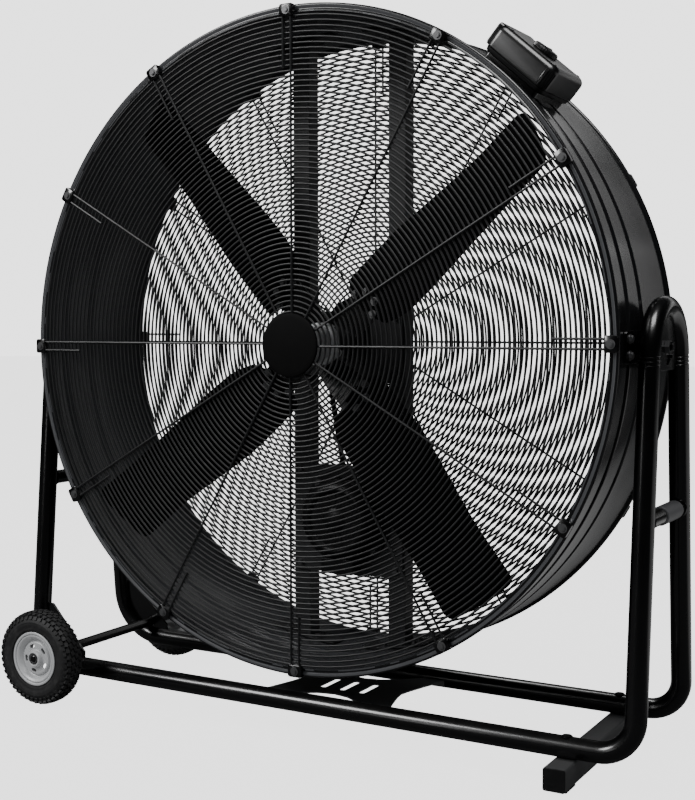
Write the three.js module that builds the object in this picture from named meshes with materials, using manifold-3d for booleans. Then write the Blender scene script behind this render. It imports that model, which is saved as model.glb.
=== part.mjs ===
// Belt-driven drum fan on a tubular stand with two wheels, as an assembly of separate pieces.
// Millimetres, +Z up. The floor is z = 0 and the origin lies under the middle of the drum.
// The fan blows towards -Y, the wheels are at the -X end and the foot bar is at the +X end.
import * as THREE from "three";
import { mergeVertices } from "three/addons/utils/BufferGeometryUtils.js";
import Module from "manifold-3d";

const wasm = await Module();
wasm.setup();

// ---------------------------------------------------------------- driving dimensions
const seatGap = 0.3; // left between pieces that touch
const runningGap = 0.3; // round a shaft or a pin that turns

const drumRadius = 624; // outside of the drum's sheet
const drumDepth = 326;
const groundClearance = 120; // under the drum's rims
const drumWall = 3;
const rimRoll = 6; // how far the rolled rims stand out from the sheet
const rimLip = 11; // height of the flange that each grille is clamped to
const drumFacets = 56;
const grooveDepth = 4;
const grooveWidth = 20;
const grooveCount = 2;
const grooveStart = 73; // from the drum's front edge to the first groove
const groovePitch = 76;

const wire = 4;
const ringFacets = 24;
const ringCount = 7;
const firstRingRadius = 70;
const lastRingInset = 18; // from the drum's sheet
const spokeCount = 12;
const spokeInner = 46;
const twinWireLength = 105; // the short second wire beside each spoke's outer end
const twinWireSpacing = 17;
const clipWidth = 30;
const clipLength = 24;
const clipSheet = 2;
const discRadius = 60;
const discThickness = 8;

const bladeCount = 4;
const bladePhase = 47.9; // degrees from +X of the first blade's axis
const bladePlaneY = -57; // the rotor's middle plane, from the drum's middle
const bladeSheet = 3;
const bladeTipInset = 32; // from the drum's sheet
const bladePitch = 19.3; // degrees at mid blade
const bladeTwist = 10.7; // more degrees of pitch per bladeTwistSpan along the blade
const bladeTwistSpan = 250;
const bladeRoot = 112;
const bladeCamber = 7;
const tipCorner = 14;

const shaftRadius = 12.7;
const shaftFront = -114;
const shaftRear = 134;
const hubRadius = 34;
const hubFront = -118;
const hubRear = -32;
const hubSeat = -72; // where the collar widens for the arms
const spiderSheet = 6;
const spiderReach = 152;
const spiderHalfWidth = 34;
const spiderOffset = -22; // the arm's middle line beside the blade's axis

const railClearance = 11; // between the motor's casing and either rail
const railWidth = 38;
const railDepth = 36;
const railWall = 3;
const railFront = 50; // from the drum's middle to the rails' front faces
const railFootLength = 150;
const railFootDepth = 48;
const railFootSheet = 4;

const plateThickness = 5;
const bearingPlateHeight = 130;
const plateOverhang = 15; // of both plates past the rails' middle planes
const bearingFlange = 92;
const bearingFlangeThickness = 12;
const bearingBossRadius = 30;
const bearingBossLength = 14;

const motorDrop = 352; // from the drum's axis down to the motor's axis
const motorRadius = 80;
const motorFront = -2;
const motorRear = 92;
const motorFlangeWidth = 20;
const motorFlange = 6;
const bellLength = 12;
const bellShoulder = 18;
const motorPlateBorder = 31; // of the motor plate above and below the casing
const motorPlateOffset = 6; // how far its middle lies under the motor's axis
const motorShaftRadius = 8;
const terminalBoxSize = new THREE.Vector3(74, 34, 30);

const pulleyWidth = 18;
const pulleyRear = 124;
const fanPulleyPitch = 94;
const motorPulleyPitch = 32;
const beltHeight = 8;
const beltWidth = 12;
const grooveClearance = 0.5;
const pulleyWeb = 8;

const tube = 38; // outside diameter of the stand's tube
const tubeFacets = 10;
const legClearance = 10; // between the drum's rims and the legs
const baseTubeY = 145; // the base tubes' middle lines, before and behind the axis
const bendRadius = 100;
const bowRadius = 88;
const bowDrop = 18; // from the drum's axis down to the bows' centre
const jointDrop = 38; // down to where the bows' swaged ends enter the legs
const tubeWall = 4;
const spigotLength = 36;
const braceTube = 34;
const braceHeight = 455;

const pivotPlateThickness = 5;
const pivotPlateDrop = 42; // from the drum's axis down to the plate's lower edge
const pinRadius = 8;
const pinReach = 14; // past the pivot plate's outer face
const pivotNut = 12;
const pivotNutThickness = 8;
const lockStudRadius = 5;
const lockStudArm = 30;
const lockStudAngle = -34; // degrees from +Y towards +Z
const tiltRange = 30; // degrees either way, set by the lock slot
const pivotBracketLength = 240;
const pivotBracketHeight = 56;
const pivotBracketSheet = 5;

const footBarInset = 119; // from the right legs' plane
const footBarSize = 40;
const footBarLength = 412;
const footPadHeight = 5;
const footPadLength = 46;
const capSheet = 3;

const wheelRadius = 98;
const wheelWidth = 50;
const wheelInset = 79; // of the axle from the left legs' plane
const wheelGap = 38; // between the base tubes and the wheels
const rimRadius = 56;
const axleRadius = 7; // of the ends that the wheels turn on
const axleTubeRadius = 10; // between the wheels
const wheelHubRadius = 16;
const wheelSlots = 5;
const wheelSlotArm = 26;
const axleNut = 10.5;
const axleNutThickness = 4;
const hubRecess = 5; // of the bearing's face into the wheel's hub
const gussetSheet = 5;
const gussetReach = 24; // along the tube past the bend, either way

const crossPlateSheet = 3;
const crossPlateX = 30;
const crossPlateHeight = 62;

const switchAngle = 40.8; // degrees from straight up, towards +X
const switchFront = -110;
const switchLength = 143;
const switchDepth = 148;
const switchStandOff = 8; // saddle between the drum and the box
const switchHeight = 9; // of the box's tray
const switchLid = 44; // of the cover over the tray
const switchCorner = 16;
const switchEdge = 9; // rounding along the cover's outer edge
const switchWall = 3;
const switchCheek = 11; // thickness of the cover's squared end
const knobRadius = 25;
const knobHeight = 9;
const knobStem = 6;
const glandRadius = 11;
const glandLength = 20;

// ---------------------------------------------------------------- sizes that follow from them
const drumFront = -drumDepth / 2;
const drumRear = drumDepth / 2;
const drumInner = drumRadius - drumWall;
const axisHeight = drumRadius + rimRoll + groundClearance;
const rimLipRadius = drumRadius - rimLip;
const lastRingRadius = drumRadius - lastRingInset;
const bladeTipRadius = drumRadius - bladeTipInset;
const bladeMid = 0.59 * bladeTipRadius;
const railSpacing = 2 * (motorRadius + railClearance) + railWidth; // middle plane to middle plane
const plateWidth = railSpacing + 2 * plateOverhang;
const legX = drumRadius + rimRoll + legClearance + tube / 2; // the legs' middle planes
const bowCentreHeight = axisHeight - bowDrop;
const jointHeight = axisHeight - jointDrop;
const pivotPlateBottom = axisHeight - pivotPlateDrop;
const footBarX = legX - footBarInset;
const wheelX = wheelInset - legX;
const wheelY = baseTubeY + tube / 2 + wheelGap + wheelWidth / 2; // the wheels' middle planes
const spigotRadius = tube / 2 - tubeWall;
const baseTubeHeight = footPadHeight + footBarSize + seatGap + tube / 2;
const plateFront = railFront - seatGap - plateThickness;
const plateRear = railFront - seatGap;
const legLean = leanOf();
const pulleyFront = pulleyRear - pulleyWidth;
const beltMiddle = (pulleyFront + pulleyRear) / 2;

// The legs lean so that each one runs straight into the end of its bow.
function leanOf() {
  const rise = bowCentreHeight - baseTubeHeight;
  const reach = Math.hypot(baseTubeY, rise);
  return Math.atan2(baseTubeY, rise) - Math.asin(bowRadius / reach);
}

// ---------------------------------------------------------------- finishes
const finishes = {
  frameBlack: { color: 0x15161a, roughness: 0.38, metalness: 0.3 },
  drumBlack: { color: 0x1b1d21, roughness: 0.42, metalness: 0.35 },
  bladeBlack: { color: 0x17181c, roughness: 0.4, metalness: 0.3 },
  wireBlack: { color: 0x1a1b1f, roughness: 0.4, metalness: 0.4 },
  plasticBlack: { color: 0x121315, roughness: 0.55, metalness: 0 },
  rubber: { color: 0x1d1e20, roughness: 0.85, metalness: 0 },
  rimGrey: { color: 0xb4b6b8, roughness: 0.45, metalness: 0.4 },
  steel: { color: 0x8f9296, roughness: 0.35, metalness: 0.9 },
  castIron: { color: 0x3a3c40, roughness: 0.6, metalness: 0.6 },
  motorGrey: { color: 0x26282c, roughness: 0.5, metalness: 0.4 },
};

// ---------------------------------------------------------------- geometry helpers
const radians = THREE.MathUtils.degToRad;

function vec(x, y, z) {
  return new THREE.Vector3(x, y, z);
}

// One closed surface: shared points merged, collapsed faces dropped, faces turned outwards.
function clean(geometry) {
  const bare = new THREE.BufferGeometry();
  bare.setAttribute("position", geometry.getAttribute("position").clone());
  bare.setIndex(geometry.index ? geometry.index.clone() : null);
  const merged = mergeVertices(bare, 1e-4);
  const faces = [];
  const index = merged.index.array;
  for (let i = 0; i < index.length; i += 3) {
    const [a, b, c] = [index[i], index[i + 1], index[i + 2]];
    if (a !== b && b !== c && c !== a) faces.push(a, b, c);
  }
  merged.setIndex(faces);
  if (signedVolume(merged) < 0) merged.setIndex(faces.reverse());
  return merged;
}

function signedVolume(geometry) {
  const p = geometry.getAttribute("position");
  const index = geometry.index.array;
  const [a, b, c] = [vec(), vec(), vec()];
  let sum = 0;
  for (let i = 0; i < index.length; i += 3) {
    a.fromBufferAttribute(p, index[i]);
    b.fromBufferAttribute(p, index[i + 1]);
    c.fromBufferAttribute(p, index[i + 2]);
    sum += a.dot(b.cross(c)) / 6;
  }
  return sum;
}

function solid(geometry) {
  const merged = clean(geometry);
  return new wasm.Manifold(
    new wasm.Mesh({
      numProp: 3,
      vertProperties: new Float32Array(merged.getAttribute("position").array),
      triVerts: new Uint32Array(merged.index.array),
    }),
  );
}

function geometryOf(manifold) {
  const made = manifold.getMesh();
  const stride = made.numProp;
  const points = new Float32Array(made.numVert * 3);
  for (let i = 0; i < made.numVert; i++) {
    points.set(made.vertProperties.subarray(i * stride, i * stride + 3), i * 3);
  }
  const geometry = new THREE.BufferGeometry();
  geometry.setAttribute("position", new THREE.BufferAttribute(points, 3));
  geometry.setIndex(new THREE.BufferAttribute(made.triVerts, 1));
  return geometry;
}

function joined(geometries) {
  return geometryOf(wasm.Manifold.union(geometries.map(solid)));
}

function cut(geometry, ...tools) {
  return geometryOf(tools.reduce((body, tool) => body.subtract(solid(tool)), solid(geometry)));
}

function common(a, b) {
  return geometryOf(solid(a).intersect(solid(b)));
}

// A body of revolution about Y. Each profile point is [radius, y], and the profile closes on itself.
function turned(profile, facets) {
  const points = profile.map(([r, y]) => new THREE.Vector2(r, y));
  return clean(new THREE.LatheGeometry(points, facets));
}

function ringProfile(inner, outer, front, rear) {
  return [
    [inner, front],
    [outer, front],
    [outer, rear],
    [inner, rear],
    [inner, front],
  ];
}

function rod(radius, front, rear, facets = 24) {
  return turned(ringProfile(0, radius, front, rear), facets);
}

function collar(inner, outer, front, rear, facets = 24) {
  return turned(ringProfile(inner, outer, front, rear), facets);
}

function block(width, depth, height, x = 0, y = 0, z = 0) {
  return new THREE.BoxGeometry(width, depth, height).translate(x, y, z);
}

// The points of an outline without the near-doubles that arcs leave where they meet.
function distinct(points) {
  const last = points[points.length - 1];
  return points.filter((point, i) => point.distanceTo(i ? points[i - 1] : last) > 1e-3);
}

// A flat sheet with straight sides, from an outline with holes, rising from z = 0.
function extruded(shape, depth, curveSegments = 6) {
  const prism = (outline, low, high) => {
    const closed = new THREE.Shape(distinct(outline.getPoints(curveSegments)));
    return new THREE.ExtrudeGeometry(closed, { depth: high - low, bevelEnabled: false }).translate(0, 0, low);
  };
  return cut(prism(shape, 0, depth), ...shape.holes.map((hole) => prism(hole, -1, depth + 1)));
}

// A flat plate cut from an outline in X and Z, lying between two values of Y.
function platedXZ(shape, front, rear, curveSegments) {
  return extruded(shape, rear - front, curveSegments).rotateX(Math.PI / 2).translate(0, rear, 0);
}

// A flat plate cut from an outline in Y and Z, lying between two values of X.
function platedYZ(shape, low, high, curveSegments) {
  const turn = new THREE.Matrix4().makeBasis(vec(0, 1, 0), vec(0, 0, 1), vec(1, 0, 0));
  return extruded(shape, high - low, curveSegments).applyMatrix4(turn).translate(low, 0, 0);
}

function roundedRectangle(width, height, corner, cx = 0, cy = 0) {
  const [w, h] = [width / 2, height / 2];
  const shape = new THREE.Shape();
  shape.absarc(cx + w - corner, cy + h - corner, corner, 0, Math.PI / 2);
  shape.absarc(cx - w + corner, cy + h - corner, corner, Math.PI / 2, Math.PI);
  shape.absarc(cx - w + corner, cy - h + corner, corner, Math.PI, 1.5 * Math.PI);
  shape.absarc(cx + w - corner, cy - h + corner, corner, 1.5 * Math.PI, 2 * Math.PI);
  return shape;
}

function circlePath(radius, cx = 0, cy = 0) {
  return new THREE.Path().absarc(cx, cy, radius, 0, 2 * Math.PI);
}

function polygon(radius, sides, phase = 0) {
  const points = [];
  for (let i = 0; i < sides; i++) {
    const angle = phase + (i * 2 * Math.PI) / sides;
    points.push(new THREE.Vector2(radius * Math.cos(angle), radius * Math.sin(angle)));
  }
  return new THREE.Shape(points);
}

// A path through chosen stations, so that straight runs take one step and bends take several.
class StationPath extends THREE.Curve {
  constructor(stations) {
    super();
    this.stations = stations;
  }
  station(u) {
    return this.stations[Math.round(u * (this.stations.length - 1))];
  }
  getPoint(u) {
    return this.station(u).point.clone();
  }
  getPointAt(u) {
    return this.getPoint(u);
  }
  getTangent(u) {
    return this.station(u).tangent.clone();
  }
  getTangentAt(u) {
    return this.getTangent(u);
  }
}

function arcStations(centre, radius, from, to, across, up, steps) {
  const stations = [];
  const sense = Math.sign(to - from);
  for (let i = 0; i <= steps; i++) {
    const angle = from + ((to - from) * i) / steps;
    const [c, s] = [Math.cos(angle), Math.sin(angle)];
    const point = centre.clone().addScaledVector(across, radius * c).addScaledVector(up, radius * s);
    const tangent = vec(0, 0, 0).addScaledVector(across, -s * sense).addScaledVector(up, c * sense);
    stations.push({ point, tangent });
  }
  return stations;
}

function tubeAlong(stations, diameter, facets = tubeFacets) {
  return clean(
    new THREE.ExtrudeGeometry(polygon(diameter / 2, facets), {
      steps: stations.length - 1,
      extrudePath: new StationPath(stations),
      bevelEnabled: false,
    }),
  );
}

function straight(from, to) {
  const tangent = to.clone().sub(from).normalize();
  return [
    { point: from, tangent },
    { point: to, tangent },
  ];
}

// A hexagonal nut whose axis is X or Y, with an optional hole.
function hexNut(radius, thickness, hole) {
  const shape = polygon(radius, 6);
  if (hole) shape.holes.push(circlePath(hole));
  return extruded(shape, thickness);
}

// ---------------------------------------------------------------- the assembly
const fan = new THREE.Group();
const drum = new THREE.Group();
const rotor = new THREE.Group();
const motor = new THREE.Group();
const switchGroup = new THREE.Group();
drum.position.z = axisHeight;
motor.position.z = -motorDrop;
switchGroup.rotation.y = radians(switchAngle);
fan.add(drum);
drum.add(rotor, motor, switchGroup);

function add(parent, name, geometry, finish) {
  const material = new THREE.MeshStandardMaterial({ ...finishes[finish], flatShading: true });
  const mesh = new THREE.Mesh(clean(geometry), material);
  mesh.name = name;
  parent.add(mesh);
  return mesh;
}

// ---------------------------------------------------------------- stand
const left = -1;
const right = 1;

// One loop of tube: down a leg, along the floor and up the other leg, in a plane that leans by legLean.
function frameLoop(diameter) {
  const legTop = (jointHeight - baseTubeHeight) / Math.cos(legLean);
  const corner = legX - bendRadius;
  const [across, up] = [vec(1, 0, 0), vec(0, 0, 1)];
  const quarter = Math.PI / 2;
  const stations = [
    { point: vec(-legX, 0, legTop), tangent: vec(0, 0, -1) },
    ...arcStations(vec(-corner, 0, bendRadius), bendRadius, 2 * quarter, 3 * quarter, across, up, 6),
    ...arcStations(vec(corner, 0, bendRadius), bendRadius, -quarter, 0, across, up, 6),
    { point: vec(legX, 0, legTop), tangent: vec(0, 0, 1) },
  ];
  return tubeAlong(stations, diameter);
}

// Where a leaning loop stands: side is -1 before the drum and 1 behind it.
function loopPlace(side) {
  const lean = new THREE.Matrix4().makeRotationX(side * legLean);
  return new THREE.Matrix4().makeTranslation(0, side * baseTubeY, baseTubeHeight).multiply(lean);
}

// The bow over one side of the drum, with straight ends that follow the legs.
function bow(side, diameter, bottom) {
  const start = Math.PI - legLean;
  const end = legLean;
  const centre = vec(side * legX, 0, bowCentreHeight);
  const arc = arcStations(centre, bowRadius, start, end, vec(0, 1, 0), vec(0, 0, 1), 12);
  const drop = bowCentreHeight + bowRadius * Math.sin(legLean) - bottom;
  const first = arc[0];
  const last = arc[arc.length - 1];
  const run = drop / Math.cos(legLean);
  const front = { point: first.point.clone().addScaledVector(first.tangent, -run), tangent: first.tangent };
  const rear = { point: last.point.clone().addScaledVector(last.tangent, run), tangent: last.tangent };
  return tubeAlong([front, ...arc, rear], diameter);
}

// The swaged end of a bow, or with a larger radius the socket for it in the leg.
function spigot(sideX, sideY, radius, top, length) {
  const rise = top - baseTubeHeight;
  const lean = Math.tan(legLean);
  const at = (height) => vec(sideX * legX, sideY * (baseTubeY - (height - baseTubeHeight) * lean), height);
  return tubeAlong(straight(at(rise + baseTubeHeight), at(top - length)), 2 * radius);
}

function spigots(sideX, radius, top, length) {
  return [spigot(sideX, -1, radius, top, length), spigot(sideX, 1, radius, top, length)];
}

function buildStand() {
  const placedLoop = (side, diameter) => frameLoop(diameter).applyMatrix4(loopPlace(side));
  for (const [side, name] of [[-1, "front_frame_tube"], [1, "rear_frame_tube"]]) {
    const sockets = [left, right].map((x) =>
      spigot(x, side, spigotRadius + seatGap, jointHeight + 4, spigotLength + 8),
    );
    add(fan, name, cut(placedLoop(side, tube), ...sockets), "frameBlack");
  }
  const grown = tube + 2 * seatGap;
  for (const [side, name] of [[left, "left"], [right, "right"]]) {
    const outer = bow(side, tube, jointHeight + seatGap);
    const ends = spigots(side, spigotRadius, jointHeight + seatGap + 2, spigotLength);
    add(fan, name + "_bow", joined([outer, ...ends]), "frameBlack");
    const brace = tubeAlong(
      straight(vec(side * legX, -baseTubeY, braceHeight), vec(side * legX, baseTubeY, braceHeight)),
      braceTube,
    );
    const middle = block(4 * tube, 1.6 * baseTubeY, 4 * tube, side * legX, 0, braceHeight);
    const coped = common(cut(brace, placedLoop(-1, grown), placedLoop(1, grown)), middle);
    add(fan, name + "_brace", largest(coped), "frameBlack");
    add(fan, name + "_pivot_plate", pivotPlate(side), "frameBlack");
  }
  buildFootBar();
  buildAxle();
  add(fan, "cross_plate", crossPlate(), "frameBlack");
}

// The largest of a geometry's separate bodies: a coped tube leaves slivers past the legs.
function largest(geometry) {
  const bodies = solid(geometry).decompose();
  bodies.sort((a, b) => b.volume() - a.volume());
  return geometryOf(bodies[0]);
}

// The plate that fills a bow and carries the drum: a hole for the pin and a curved slot for the lock stud.
function pivotPlate(side) {
  const shape = new THREE.Shape();
  const half = bowRadius - 4;
  const foot = half - 30;
  shape.moveTo(foot, pivotPlateBottom);
  shape.lineTo(half, pivotPlateBottom + 20);
  shape.absarc(0, bowCentreHeight, half, 0, Math.PI);
  shape.lineTo(-half, pivotPlateBottom + 20);
  shape.lineTo(-foot, pivotPlateBottom);
  shape.holes.push(circlePath(pinRadius + runningGap, 0, axisHeight));
  shape.holes.push(lockSlot());
  const middle = side * legX;
  const flat = platedYZ(shape, middle - pivotPlateThickness / 2, middle + pivotPlateThickness / 2, 7);
  return largest(cut(flat, bow(side, tube + 2 * seatGap, jointHeight - spigotLength)));
}

function lockSlot() {
  const half = lockStudRadius + 2 * runningGap;
  const spare = radians(3);
  const from = radians(lockStudAngle - tiltRange) - spare;
  const to = radians(lockStudAngle + tiltRange) + spare;
  const slot = new THREE.Path();
  const end = (angle) => [lockStudArm * Math.cos(angle), axisHeight + lockStudArm * Math.sin(angle)];
  slot.absarc(0, axisHeight, lockStudArm + half, from, to, false);
  slot.absarc(...end(to), half, to, to + Math.PI, false);
  slot.absarc(0, axisHeight, lockStudArm - half, to, from, true);
  slot.absarc(...end(from), half, from + Math.PI, from + 2 * Math.PI, false);
  return slot;
}

function buildFootBar() {
  const height = footPadHeight + footBarSize / 2;
  const wall = 3;
  const shape = roundedRectangle(footBarSize, footBarSize, 4, footBarX, height);
  shape.holes.push(roundedRectangle(footBarSize - 2 * wall, footBarSize - 2 * wall, 2, footBarX, height));
  const half = footBarLength / 2;
  add(fan, "foot_bar", platedXZ(shape, -half, half, 2), "frameBlack");
  for (const [side, name] of [[-1, "front"], [1, "rear"]]) {
    const plug = footBarSize - 2 * wall - 2 * seatGap;
    const face = roundedRectangle(footBarSize, footBarSize, 4, footBarX, height);
    const capY = side * (half + seatGap + capSheet / 2);
    const cap = platedXZ(face, capY - capSheet / 2, capY + capSheet / 2, 2);
    const inside = roundedRectangle(plug, plug, 2, footBarX, height);
    const tongueEnd = side * (half - 14);
    const tongue = platedXZ(inside, Math.min(tongueEnd, capY), Math.max(tongueEnd, capY), 2);
    add(fan, name + "_bar_cap", joined([cap, tongue]), "plasticBlack");
    const padTop = footPadHeight - seatGap;
    const pad = block(footBarSize - 6, footPadLength, padTop, footBarX, side * (half - 36), padTop / 2);
    add(fan, name + "_foot_pad", pad, "rubber");
  }
}

// The plate in a bottom corner of the loop, which carries the axle.
function gusset(side) {
  const corner = legX - bendRadius;
  const shape = new THREE.Shape();
  const reach = bendRadius + gussetReach;
  shape.moveTo(-legX, reach);
  shape.lineTo(-legX, bendRadius);
  shape.absarc(-corner, bendRadius, bendRadius, Math.PI, 1.5 * Math.PI, false);
  shape.lineTo(-corner + gussetReach, 0);
  shape.lineTo(-corner + gussetReach, tube / 2 + 12);
  shape.lineTo(-legX + tube / 2 + 12, reach);
  const flat = platedXZ(shape, -gussetSheet / 2, gussetSheet / 2, 8);
  const placed = cut(flat, frameLoop(tube + 2 * seatGap)).applyMatrix4(loopPlace(side));
  const hole = rod(axleTubeRadius + seatGap + 0.3, -2 * baseTubeY, 2 * baseTubeY, 20);
  return largest(cut(placed, hole.translate(wheelX, 0, wheelRadius)));
}

function buildAxle() {
  const face = wheelY + wheelWidth / 2 - hubRecess; // where each nut sits, inside the hub's collar
  const reach = face + seatGap + axleNutThickness + 1;
  const shoulder = wheelY - wheelWidth / 2 - runningGap;
  const axle = turned(
    [
      [0, -reach],
      [axleRadius, -reach],
      [axleRadius, -shoulder],
      [axleTubeRadius, -shoulder],
      [axleTubeRadius, shoulder],
      [axleRadius, shoulder],
      [axleRadius, reach],
      [0, reach],
      [0, -reach],
    ],
    20,
  );
  add(fan, "axle", axle.translate(wheelX, 0, wheelRadius), "frameBlack");
  for (const [side, name] of [[-1, "front"], [1, "rear"]]) {
    add(fan, name + "_gusset", gusset(side), "frameBlack");
    const nut = hexNut(axleNut, axleNutThickness, axleRadius + seatGap).rotateX(Math.PI / 2);
    const inner = face + seatGap;
    const y = side > 0 ? inner + axleNutThickness : -inner;
    add(fan, name + "_axle_nut", nut.translate(wheelX, y, wheelRadius), "steel");
    buildWheel(side, name);
  }
}

function buildWheel(side, name) {
  const wheel = new THREE.Group();
  wheel.position.set(wheelX, side * wheelY, wheelRadius);
  wheel.rotation.z = side > 0 ? Math.PI : 0;
  fan.add(wheel);
  const half = wheelWidth / 2;
  const shoulder = wheelRadius - 12;
  const bead = rimRadius - 8;
  const tyre = turned(
    [
      [bead, -half + 12],
      [rimRadius + 2, -half + 5],
      [rimRadius + 17, -half],
      [shoulder - 2, -half + 2],
      [shoulder + 6, -half + 7.5],
      [wheelRadius - 1.5, -half + 15],
      [wheelRadius, 0],
      [wheelRadius - 1.5, half - 15],
      [shoulder + 6, half - 7.5],
      [shoulder - 2, half - 2],
      [rimRadius + 17, half],
      [rimRadius + 2, half - 5],
      [bead, half - 12],
      [bead, -half + 12],
    ],
    28,
  );
  add(wheel, name + "_tyre", tyre, "rubber");
  add(wheel, name + "_wheel_rim", wheelRim(half), "rimGrey");
}

// Pressed rim with a dished centre, a hub and slots round it. Its outer face looks towards -Y.
function wheelRim(half) {
  const seat = rimRadius - 8 - seatGap;
  const edge = -half + 2;
  const well = turned(
    [
      [seat, -half + 12],
      [rimRadius, -half + 4.5 - seatGap],
      [rimRadius, edge],
      [seat - 3, edge],
      [seat - 8, -half + 8],
      [seat - 8, half - 8],
      [seat - 3, -edge],
      [rimRadius, -edge],
      [rimRadius, half - 4.5 + seatGap],
      [seat, half - 12],
      [seat, -half + 12],
    ].reverse(),
    20,
  );
  const disc = turned(
    [
      [wheelHubRadius - 2, -half + 9],
      [33, -half + 9],
      [seat - 6, -half + 15],
      [seat - 6, -half + 18],
      [32, -half + 12],
      [wheelHubRadius - 2, -half + 12],
      [wheelHubRadius - 2, -half + 9],
    ],
    20,
  );
  const hub = turned(
    [
      [axleRadius + runningGap, -half + hubRecess],
      [wheelHubRadius - 4, -half + hubRecess],
      [wheelHubRadius - 4, -half],
      [wheelHubRadius, -half],
      [wheelHubRadius, half],
      [axleRadius + runningGap, half],
      [axleRadius + runningGap, -half + hubRecess],
    ].reverse(),
    16,
  );
  const slots = [];
  for (let i = 0; i < wheelSlots; i++) {
    const angle = (i * 2 * Math.PI) / wheelSlots + Math.PI / 2;
    const slot = block(6, 14, 12).rotateY(-angle);
    slots.push(slot.translate(wheelSlotArm * Math.cos(angle), -half + 10, wheelSlotArm * Math.sin(angle)));
  }
  return cut(joined([well, disc, hub]), ...slots);
}

// The pressed cross between the base tubes: four splayed feet, turned down at their ends, and three slots.
function crossPlate() {
  const seatY = baseTubeY - tube / 2 - seatGap;
  const footX = 150;
  const footWidth = 44;
  const waist = 62;
  const shape = new THREE.Shape();
  shape.moveTo(-footX, -seatY);
  shape.lineTo(-footX + footWidth, -seatY);
  shape.quadraticCurveTo(-50, -waist, 0, -waist);
  shape.quadraticCurveTo(50, -waist, footX - footWidth, -seatY);
  shape.lineTo(footX, -seatY);
  shape.quadraticCurveTo(footX - 34, -20, footX - 34, 0);
  shape.quadraticCurveTo(footX - 34, 20, footX, seatY);
  shape.lineTo(footX - footWidth, seatY);
  shape.quadraticCurveTo(50, waist, 0, waist);
  shape.quadraticCurveTo(-50, waist, -footX + footWidth, seatY);
  shape.lineTo(-footX, seatY);
  shape.quadraticCurveTo(-footX + 34, 20, -footX + 34, 0);
  shape.quadraticCurveTo(-footX + 34, -20, -footX, -seatY);
  for (const x of [-44, 0, 44]) shape.holes.push(roundedRectangle(15, 70, 5, x, 0));
  const flat = extruded(shape, crossPlateSheet, 3).translate(crossPlateX, 0, crossPlateHeight);
  const flanges = [];
  for (const x of [-footX + footWidth / 2, footX - footWidth / 2]) {
    for (const side of [-1, 1]) {
      const y = side * (seatY - crossPlateSheet / 2);
      const z = crossPlateHeight + crossPlateSheet / 2 - 6;
      flanges.push(block(footWidth, crossPlateSheet, 12, crossPlateX + x, y, z));
    }
  }
  return joined([flat, ...flanges]);
}

// ---------------------------------------------------------------- drum
// The rolled sheet, from the front rim to the rear one along the outside and back along the inside.
function drumProfile() {
  const outside = [
    [rimLipRadius, drumFront],
    [drumRadius + rimRoll - 3, drumFront],
    [drumRadius + rimRoll, drumFront + 4],
    [drumRadius + rimRoll, drumFront + 9],
    [drumRadius, drumFront + 13],
  ];
  for (let i = 0; i < grooveCount; i++) {
    const middle = drumFront + grooveStart + i * groovePitch;
    outside.push(
      [drumRadius, middle - grooveWidth / 2],
      [drumRadius - grooveDepth, middle],
      [drumRadius, middle + grooveWidth / 2],
    );
  }
  outside.push(
    [drumRadius, drumRear - 13],
    [drumRadius + rimRoll, drumRear - 9],
    [drumRadius + rimRoll, drumRear - 4],
    [drumRadius + rimRoll - 3, drumRear],
    [rimLipRadius, drumRear],
  );
  const inside = [[rimLipRadius, drumRear - drumWall]];
  inside.push([drumInner, drumRear - drumWall - 3]);
  for (let i = grooveCount - 1; i >= 0; i--) {
    const middle = drumFront + grooveStart + i * groovePitch;
    inside.push(
      [drumInner, middle + grooveWidth / 2],
      [drumInner - grooveDepth, middle],
      [drumInner, middle - grooveWidth / 2],
    );
  }
  inside.push([drumInner, drumFront + drumWall + 3], [rimLipRadius, drumFront + drumWall]);
  return [...outside, ...inside, outside[0]];
}

// Concentric rings welded to straight spokes, with a short twin wire and a clip at each spoke's end.
// It is made for the front, with the rings towards -Y, and turned round for the rear.
function grille() {
  const spokeY = drumFront - seatGap - wire / 2;
  const ringY = spokeY - wire + 0.4;
  const pieces = [];
  for (let i = 0; i < ringCount; i++) {
    const radius = firstRingRadius + ((lastRingRadius - firstRingRadius) * i) / (ringCount - 1);
    pieces.push(
      turned(
        [
          [radius - wire / 2, ringY + wire / 2],
          [radius, ringY - wire / 2],
          [radius + wire / 2, ringY + wire / 2],
          [radius - wire / 2, ringY + wire / 2],
        ],
        ringFacets,
      ).rotateY(Math.PI / ringFacets),
    );
  }
  for (let i = 0; i < spokeCount; i++) {
    const turn = (i * 2 * Math.PI) / spokeCount;
    const span = drumRadius - spokeInner;
    const spoke = block(wire * 0.8, wire, span, 0, spokeY, spokeInner + span / 2);
    const twin = block(wire * 0.8, wire, twinWireLength);
    twin.translate(twinWireSpacing, spokeY, drumRadius - twinWireLength / 2);
    const clip = block(clipWidth, clipSheet, clipLength);
    const clipY = spokeY - wire / 2 - clipSheet / 2 + 0.4;
    clip.translate(twinWireSpacing / 2, clipY, drumRadius + 2 - clipLength / 2);
    for (const piece of [spoke, twin, clip]) pieces.push(piece.rotateY(turn));
  }
  return joined(pieces);
}

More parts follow.
